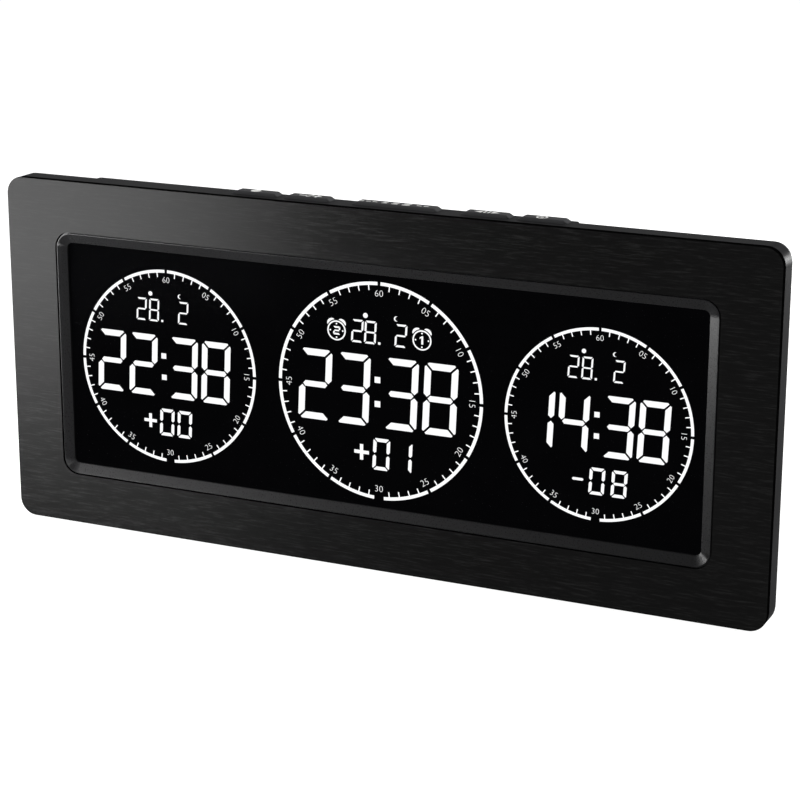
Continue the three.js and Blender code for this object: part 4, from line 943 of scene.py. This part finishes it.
def dial_numbers(side, dial):
    """All twelve numbers of one dial as a single thin closed mesh."""
    mesh = bmesh.new()
    radius = dial["radius"]
    thick = (LAYER_FAR - LAYER_NEAR) / MM
    for step in range(ARCS):
        clock_angle = 360 // ARCS * step
        minute = (MINUTES_PER_ARC * step - 1) % MINUTES + 1
        flat = number_mesh(f"{minute:02d}")
        angle = math.radians(clock_angle)
        turn = 180 - clock_angle if READABLE_FROM < clock_angle < READABLE_TO else -clock_angle
        at = Vector((dial["at"][0] + NUMBER_AT * radius * math.sin(angle),
                     dial["at"][1] + NUMBER_AT * radius * math.cos(angle), 0))
        flat.transform(Matrix.Translation(at) @ Matrix.Rotation(math.radians(turn), 4, "Z")
                       @ Matrix.Scale(NUMBER_HEIGHT * radius, 4))
        part = bmesh.new()
        part.from_mesh(flat)
        bmesh.ops.remove_doubles(part, verts=part.verts, dist=NUMBER_MERGE)
        top = bmesh.ops.extrude_face_region(part, geom=part.faces[:])["geom"]
        for vert in (v for v in top if isinstance(v, bmesh.types.BMVert)):
            vert.co.z += thick
        bmesh.ops.recalc_face_normals(part, faces=part.faces)
        part.to_mesh(flat)
        part.free()
        mesh.from_mesh(flat)
        bpy.data.meshes.remove(flat)
    stand = Matrix.Translation((0, LAYER_FAR, FACE_MID_Z)) @ Matrix.Rotation(math.radians(90), 4, "X")
    bmesh.ops.transform(mesh, matrix=stand @ Matrix.Scale(MM, 4), verts=mesh.verts)
    return piece(side + "_numbers", mesh, SEGMENT_LIT, "clock")


for side, dial in DIALS.items():
    made = dial_numbers(side, dial)
    print(side, "number faces:", len(made.data.polygons))

# %% [markdown]
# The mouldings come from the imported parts, whose edges are as sharp as a drawing. A real mould leaves a
# small round on every rim, and that round is what catches the light. So each one is copied, its points are
# merged, its flat faces joined and its long rims rounded. Normals weighted by face size keep flats flat.

# %% Softened copies
MERGE_MM = 0.001
FLAT_ANGLE = math.radians(0.4)
RIM_ANGLE = math.radians(40)
SMOOTH_ANGLE = 38
BODY_OF = {node: body for body, held in frame["record"]["behaviour"]["bodies"].items() for node in held}
SLOT_OF = {row["node"]: row["material_slot"] for row in frame["record"]["subparts"]}


def merged_copy(node):
    """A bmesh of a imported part, with its points merged and its flat faces joined."""
    mesh = bmesh.new()
    mesh.from_mesh(nodes[node].data)
    bmesh.ops.remove_doubles(mesh, verts=mesh.verts, dist=MERGE_MM * MM)
    bmesh.ops.dissolve_limit(mesh, angle_limit=FLAT_ANGLE, verts=mesh.verts, edges=mesh.edges)
    return mesh


def round_rims(mesh, rim_mm, long_mm):
    """Rounds the outer edges that are longer than a size."""
    rims = [e for e in mesh.edges if e.is_manifold and e.is_convex and e.calc_length() > long_mm * MM
            and e.calc_face_angle() > RIM_ANGLE]
    bmesh.ops.bevel(mesh, geom=rims, offset=rim_mm * MM, offset_type="OFFSET", segments=2, profile=0.5,
                    affect="EDGES", clamp_overlap=True)
    return len(rims)


def finished(node, mesh, material, smooth_angle=SMOOTH_ANGLE):
    """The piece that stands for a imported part."""
    made = piece("finished_" + node, mesh, material, BODY_OF[node], smooth_angle)
    made.modifiers.new("even_light", "WEIGHTED_NORMAL").keep_sharp = True
    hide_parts(node)
    return made


print("bodies:", sorted(set(BODY_OF.values())))

# %% [markdown]
# The front case is one moulding with three materials. Its tool was worked in two ways: satin on the wall and
# polished on the sloped surround of the window. The third is painted shade: black on the step under the plate
# and on the wall's front edge, which stands for the shadow in the gap and reads as a black line. One piece
# with three materials keeps the moulding whole. Its faces are told apart by where they lie and which way they
# look.

# %% Front case
# Sizes in millimetres. FRONTAL is how far a face of the surround looks to the front; -1 is square on.
CASE_RIM = 0.18
CASE_LONG = 4.0
SURROUND_DEEP = 3.0
PAINTED_SHADE_DEEP = 2.62
FRONTAL = -0.3
WALL_SLOT, SURROUND_SLOT, PAINTED_SHADE_SLOT = 0, 1, 2

case_mesh = merged_copy("front_case")
rounded = round_rims(case_mesh, CASE_RIM, CASE_LONG)
case = finished("front_case", case_mesh, CASE_ABS)
case.data.materials.append(SURROUND_ABS)
case.data.materials.append(PAINTED_SHADE_ABS)
reach = [side / 2 + SURROUND_RUN + CASE_RIM for side in WINDOW_SIZE]
for face in case.data.polygons:
    x, up = face.center.x / MM, (face.center.z - FACE_MID_Z) / MM
    deep = (face.center.y - FACE_LOW.y) / MM
    face.material_index = WALL_SLOT
    if abs(x) < reach[0] and abs(up) < reach[1]:
        if deep < SURROUND_DEEP and face.normal.y < FRONTAL:
            face.material_index = SURROUND_SLOT
    # The step under the plate and the wall's front edge get the painted shade.
    elif deep < PAINTED_SHADE_DEEP:
        face.material_index = PAINTED_SHADE_SLOT
print("case rims rounded:", rounded, "faces:", len(case.data.polygons))

# %% [markdown]
# The rear cover, its door and its stand share one coarser grain. Their rims are rounded more than the
# front's, as hidden mouldings are. The same softened copies serve, so only the sizes are listed here.

# %% Rear cover, door and stand
# Rim and shortest rounded edge, in millimetres.
BACK_RIMS = {"rear_cover": (0.35, 6.0), "battery_door": (0.30, 4.0), "stand_leg": (0.30, 4.0)}

for node, (rim, long_side) in BACK_RIMS.items():
    back_mesh = merged_copy(node)
    rounded = round_rims(back_mesh, rim, long_side)
    made = finished(node, back_mesh, REAR_ABS)
    print(node, "rims rounded:", rounded, "faces:", len(made.data.polygons))

# %% [markdown]
# The keys are silky ABS, paler as painted light, and their fronts lean back above the ledge, as a mould needs
# to let them go.
# The copies are bent rather than rebuilt: points of the front move back with their height, before the rims
# are rounded. Each top is then set down by the thickness of its print, which keeps the clock's height.

# %% Keys
KEYS = ("outer_left_key", "inner_left_key", "snooze_bar", "inner_right_key", "outer_right_key")
# Sizes in millimetres.
KEY_RIM = 0.40
KEY_LEAN = 0.6
KEY_LONG = 2.0
PRINT_RISE = 0.04
PRINT_SUNK = 0.03

for node in KEYS:
    key_mesh = merged_copy(node)
    key_low, key_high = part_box(node)
    for vert in key_mesh.verts:
        if vert.co.z > FACE_HIGH.z and vert.co.y < (key_low.y + key_high.y) / 2:
            vert.co.y += KEY_LEAN * MM * (vert.co.z - FACE_HIGH.z) / (key_high.z - FACE_HIGH.z)
    round_rims(key_mesh, KEY_RIM, KEY_LONG)
    for vert in key_mesh.verts:
        vert.co.z = min(vert.co.z, key_high.z - PRINT_RISE * MM)
    made = finished(node, key_mesh, PAINTED_LIGHT_KEYS)
    print(node, "faces:", len(made.data.polygons))

# %% [markdown]
# The white legends are pad printed: a soft pad presses a thin film of ink on the key. They could be painted
# in the key's material, but thin flat shapes keep their edges and travel with the key. The signs are the
# usual ones for light, setting, sleep, stepping and alarm.

# %% Key legends
PRINT_INK = moulded_plastic("white_pad_print_ink", "#d6d6d3", "#e2e2df", 0.5, 0.005, 0.55, 0.30)
# Stroke of the sleep sign as a share of its size, and foot of its slope in strokes.
SLEEP_STROKE, SLEEP_FOOT = 0.24, 1.6


def bar(x, y, long, wide, turn=0.0):
    """A flat bar about a point, turned by some degrees."""
    c, s = math.cos(math.radians(turn)), math.sin(math.radians(turn))
    a, b = long / 2, wide / 2
    return [(x + p * c - q * s, y + p * s + q * c) for p, q in ((-a, -b), (a, -b), (a, b), (-a, b))]


def sleep_sign(x, y, size):
    """A letter z, the usual sign for sleep."""
    a, t = size / 2, size * SLEEP_STROKE
    foot = SLEEP_FOOT * t
    return [(x - a, y - a), (x + a, y - a), (x + a, y - a + t), (x - a + foot, y - a + t), (x + a, y + a - t),
            (x + a, y + a), (x - a, y + a), (x - a, y + a - t), (x + a - foot, y + a - t), (x - a, y - a + t)]


def arrow(x, y, long, wide):
    """A triangle that points along its length; a negative length points left."""
    return [(x - long / 2, y - wide / 2), (x + long / 2, y), (x - long / 2, y + wide / 2)]


# Places and sizes in millimetres, from the middle of each key.
LIGHT_DISC, LIGHT_AT = 2.3, (-0.8, 0.2)
ALARM_DOT, ALARM_RING, ALARM_AT = 0.8, (1.7, 2.5), (-1.0, 0)
LIGHT_STEPS, DOT_STEPS, RING_STEPS = 32, 20, 36
STROKE = 0.8
STEP_SIZE, STEP_AT, PAUSE_AT = 3.6, 4.0, 0.9
# Each is placed by its middle, then length, width and turn; the plus by its right edge and rows.
MINUS, SLASH = (-3.2, 0, 3.6, 1.0), (0.2, 0, 4.6, STROKE, 65)
PLUS = (5.9, 2.0, -2.0, 4.8, 1.0)
DASH_LONG, DASHES_AT = 2.2, (-16.5, -13.4, -10.3, 10.3, 13.4)
SLEEP_SIGNS = ((-5.6, 2.4), (-0.8, 3.0), (4.6, 3.6))
LEGENDS = {
    "outer_left_key": [circle_points(LIGHT_DISC, LIGHT_AT, LIGHT_STEPS)],
    "inner_left_key": [bar(*MINUS), bar(*SLASH), plus_outline(*PLUS)],
    "snooze_bar": [bar(x, 0, DASH_LONG, STROKE) for x in DASHES_AT]
    + [sleep_sign(x, 0, size) for x, size in SLEEP_SIGNS],
    "inner_right_key": [arrow(-STEP_AT, 0, -STEP_SIZE, STEP_SIZE), bar(-PAUSE_AT, 0, STEP_SIZE, STROKE, 90),
                        bar(PAUSE_AT, 0, STEP_SIZE, STROKE, 90), arrow(STEP_AT, 0, STEP_SIZE, STEP_SIZE)],
    "outer_right_key": [circle_points(ALARM_DOT, ALARM_AT, DOT_STEPS)],
}


def on_key(middle, z):
    """Carries a point in millimetres from the middle of a key's top to the frame, at a height z."""
    return lambda p: Vector((middle.x + p[0] * MM, middle.y + p[1] * MM, z))


for node in KEYS:
    low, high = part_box(node)
    middle = (low + high) / 2
    above = on_key(middle, high.z)
    below = on_key(middle, high.z - (PRINT_RISE + PRINT_SUNK) * MM)
    print_mesh = bmesh.new()
    for outline in LEGENDS[node]:
        prism(print_mesh, outline, above, below)
    if node == "outer_right_key":
        inner, outer = [circle_points(radius, ALARM_AT, RING_STEPS) for radius in ALARM_RING]
        ring_prism(print_mesh, inner, outer, above, below)
    made = piece(node + "_legend", print_mesh, PRINT_INK, BODY_OF[node])
    print(made.name, "faces:", len(made.data.polygons))

# %% [markdown]
# The small metal parts are steel, nickel plated or blackened. Such a coat is never quite even: a noise as
# fine as its grit shifts tone and blur together, which a single value would not show.

# %% Metals
PLATING_SPREAD = 0.07


def plated_steel(name, dark, light, grit_mm, roughness):
    """Plated steel: a bright reflection, blurred unevenly by drawing and plating."""
    material, tree = new_material(name)
    place = add_node(tree, "ShaderNodeTexCoord").outputs["Object"]
    grit = add_node(tree, "ShaderNodeTexNoise", {"Vector": place, "Scale": per_mm(grit_mm), "Detail": 3.0})
    tone = add_node(tree, "ShaderNodeValToRGB", {"Fac": grit.outputs["Fac"]},
                    ((NOISE_LOW, dark), (NOISE_HIGH, light)))
    rough = add_node(tree, "ShaderNodeMapRange", {
        "Value": grit.outputs["Fac"], "From Min": NOISE_LOW, "From Max": NOISE_HIGH,
        "To Min": roughness - PLATING_SPREAD, "To Max": roughness + PLATING_SPREAD})
    metal = add_node(tree, "ShaderNodeBsdfPrincipled", {
        "Base Color": tone.outputs[0], "Metallic": 1.0, "Roughness": rough.outputs[0]})
    add_node(tree, "ShaderNodeOutputMaterial", {"Surface": metal.outputs[0]})
    return material


NICKEL = plated_steel("nickel_plated_steel", "#b4b1aa", "#c9c6c0", 0.8, 0.28)
BLACK_STEEL = plated_steel("blackened_steel", "#2a2a2c", "#363638", 0.5, 0.42)
print("metals:", NICKEL.name, BLACK_STEEL.name)

# %% [markdown]
# Boards, the flat flex and the cells show only through an open bay, but each still gets what its real
# surface has: green lacquer over copper tracks, amber film over copper strips, a printed sleeve. Tracks lie
# in rows, so a brick pattern draws them, and a wave draws the strips and the rings.

# %% Boards, flex and cells
# Length, spacing and width of the tracks, weave of the cloth and haze of the film, in millimetres.
TRACK_LONG, TRACK_PITCH, TRACK_WIDE = 11.0, 1.27, 0.14
CLOTH_MM, HAZE_MM = 0.6, 6.0
TRACK_RISE = 0.03
HAZE_SPREAD = 0.08
# A wave repeats every 0.314 units at scale 1.
WAVE_LONG = 0.314


def lacquered_board(name, turn):
    """Fibreglass under green lacquer, which is lighter where it covers a copper track."""
    material, tree = new_material(name)
    place = add_node(tree, "ShaderNodeTexCoord").outputs["Object"]
    flat = add_node(tree, "ShaderNodeMapping", {"Vector": place, "Rotation": (math.radians(turn), 0, 0)})
    tracks = add_node(tree, "ShaderNodeTexBrick", {
        "Vector": flat.outputs[0], "Color1": hex_colour("#12472a"), "Color2": hex_colour("#164f2f"),
        "Mortar": hex_colour("#3f8a52"), "Scale": per_mm(1.0), "Mortar Size": TRACK_WIDE,
        "Brick Width": TRACK_LONG, "Row Height": TRACK_PITCH})
    cloth = add_node(tree, "ShaderNodeTexNoise",
                     {"Vector": place, "Scale": per_mm(CLOTH_MM), "Detail": 1.0}).outputs["Fac"]
    relief = add_node(tree, "ShaderNodeBump", {
        "Height": tracks.outputs["Fac"], "Strength": 0.4, "Distance": TRACK_RISE * MM})
    rough = add_node(tree, "ShaderNodeMapRange", {"Value": cloth, "To Min": 0.25, "To Max": 0.42})
    lacquer = add_node(tree, "ShaderNodeBsdfPrincipled", {
        "Base Color": tracks.outputs["Color"], "Roughness": rough.outputs[0], "Specular IOR Level": 0.5,
        "IOR": 1.5, "Normal": relief.outputs[0]})
    add_node(tree, "ShaderNodeOutputMaterial", {"Surface": lacquer.outputs[0]})
    return material


def striped_film(name, stops, pitch_mm, roughness):
    """Film with stripes along it: copper strips under amber film, or the rings of a printed sleeve."""
    material, tree = new_material(name)
    place = add_node(tree, "ShaderNodeTexCoord").outputs["Object"]
    stripe = add_node(tree, "ShaderNodeTexWave", {
        "Vector": place, "Scale": WAVE_LONG * per_mm(pitch_mm), "Distortion": 0.0},
        wave_type="BANDS", bands_direction="X")
    tone = add_node(tree, "ShaderNodeValToRGB", {"Fac": stripe.outputs["Fac"]}, stops)
    haze = add_node(tree, "ShaderNodeTexNoise",
                    {"Vector": place, "Scale": per_mm(HAZE_MM), "Detail": 2.0}).outputs["Fac"]
    rough = add_node(tree, "ShaderNodeMapRange", {
        "Value": haze, "To Min": roughness - HAZE_SPREAD, "To Max": roughness + HAZE_SPREAD})
    film = add_node(tree, "ShaderNodeBsdfPrincipled", {
        "Base Color": tone.outputs[0], "Roughness": rough.outputs[0], "Specular IOR Level": 0.4, "IOR": 1.5})
    add_node(tree, "ShaderNodeOutputMaterial", {"Surface": film.outputs[0]})
    return material


BOARD_UPRIGHT = lacquered_board("lacquered_fibreglass_upright", -90)
BOARD_FLAT = lacquered_board("lacquered_fibreglass_flat", 0)
FLEX_FILM = striped_film("copper_on_polyimide_film", ((0.35, "#a5611c"), (0.55, "#c98a3c")), 1.0, 0.35)
CELL_SLEEVE = striped_film("printed_shrink_sleeve", ((0.02, "#3a3f45"), (0.05, "#7d848b")), 22.0, 0.30)
print("films:", FLEX_FILM.name, CELL_SLEEVE.name)

# %% [markdown]
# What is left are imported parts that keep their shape. Flat ones only need a finish. Screws, feet, cells and
# springs are round, so they get a merged copy with smooth sides, because loose triangles show as facets.

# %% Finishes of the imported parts
FINISHES = {
    "display_window": WINDOW_CLEAR, "lcd_glass": LCD_BLACK, "light_guide": FROSTED_ACRYLIC,
    "led_bar": FROSTED_ACRYLIC, "white_plastic": WHITE_STYRENE, "flex": FLEX_FILM, "board": BOARD_UPRIGHT,
    "epoxy": BLACK_EPOXY, "steel": NICKEL, "dark_steel": BLACK_STEEL, "rubber": FOOT_RUBBER,
    "cell": CELL_SLEEVE,
}
OWN_FINISHES = {"key_board": BOARD_FLAT, "power_socket": BLACK_NYLON, "buzzer": BLACK_NYLON}
ROUND_PARTS = ("case_screw", "foot_pad", "battery_cell", "battery_spring", "stand_pin", "power_socket",
               "buzzer")
ROUND_SMOOTH = 50

for node, made in nodes.items():
    slot = SLOT_OF[node]
    finish = OWN_FINISHES.get(node, FINISHES.get(slot))
    # The plate, the mouldings and the keys have their pieces already.
    if finish is None:
        continue
    if node.startswith(ROUND_PARTS):
        finished(node, merged_copy(node), finish, ROUND_SMOOTH)
    else:
        made.data.materials.clear()
        made.data.materials.append(finish)
print("finishes given:", len(FINISHES) + len(OWN_FINISHES))

# %% [markdown]
# Last, the box of the dressed clock is measured and printed.

# %% Size of the dressed clock, then finish
low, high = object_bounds()
print("visual box in mm:", [round(v / MM, 2) for v in high - low])
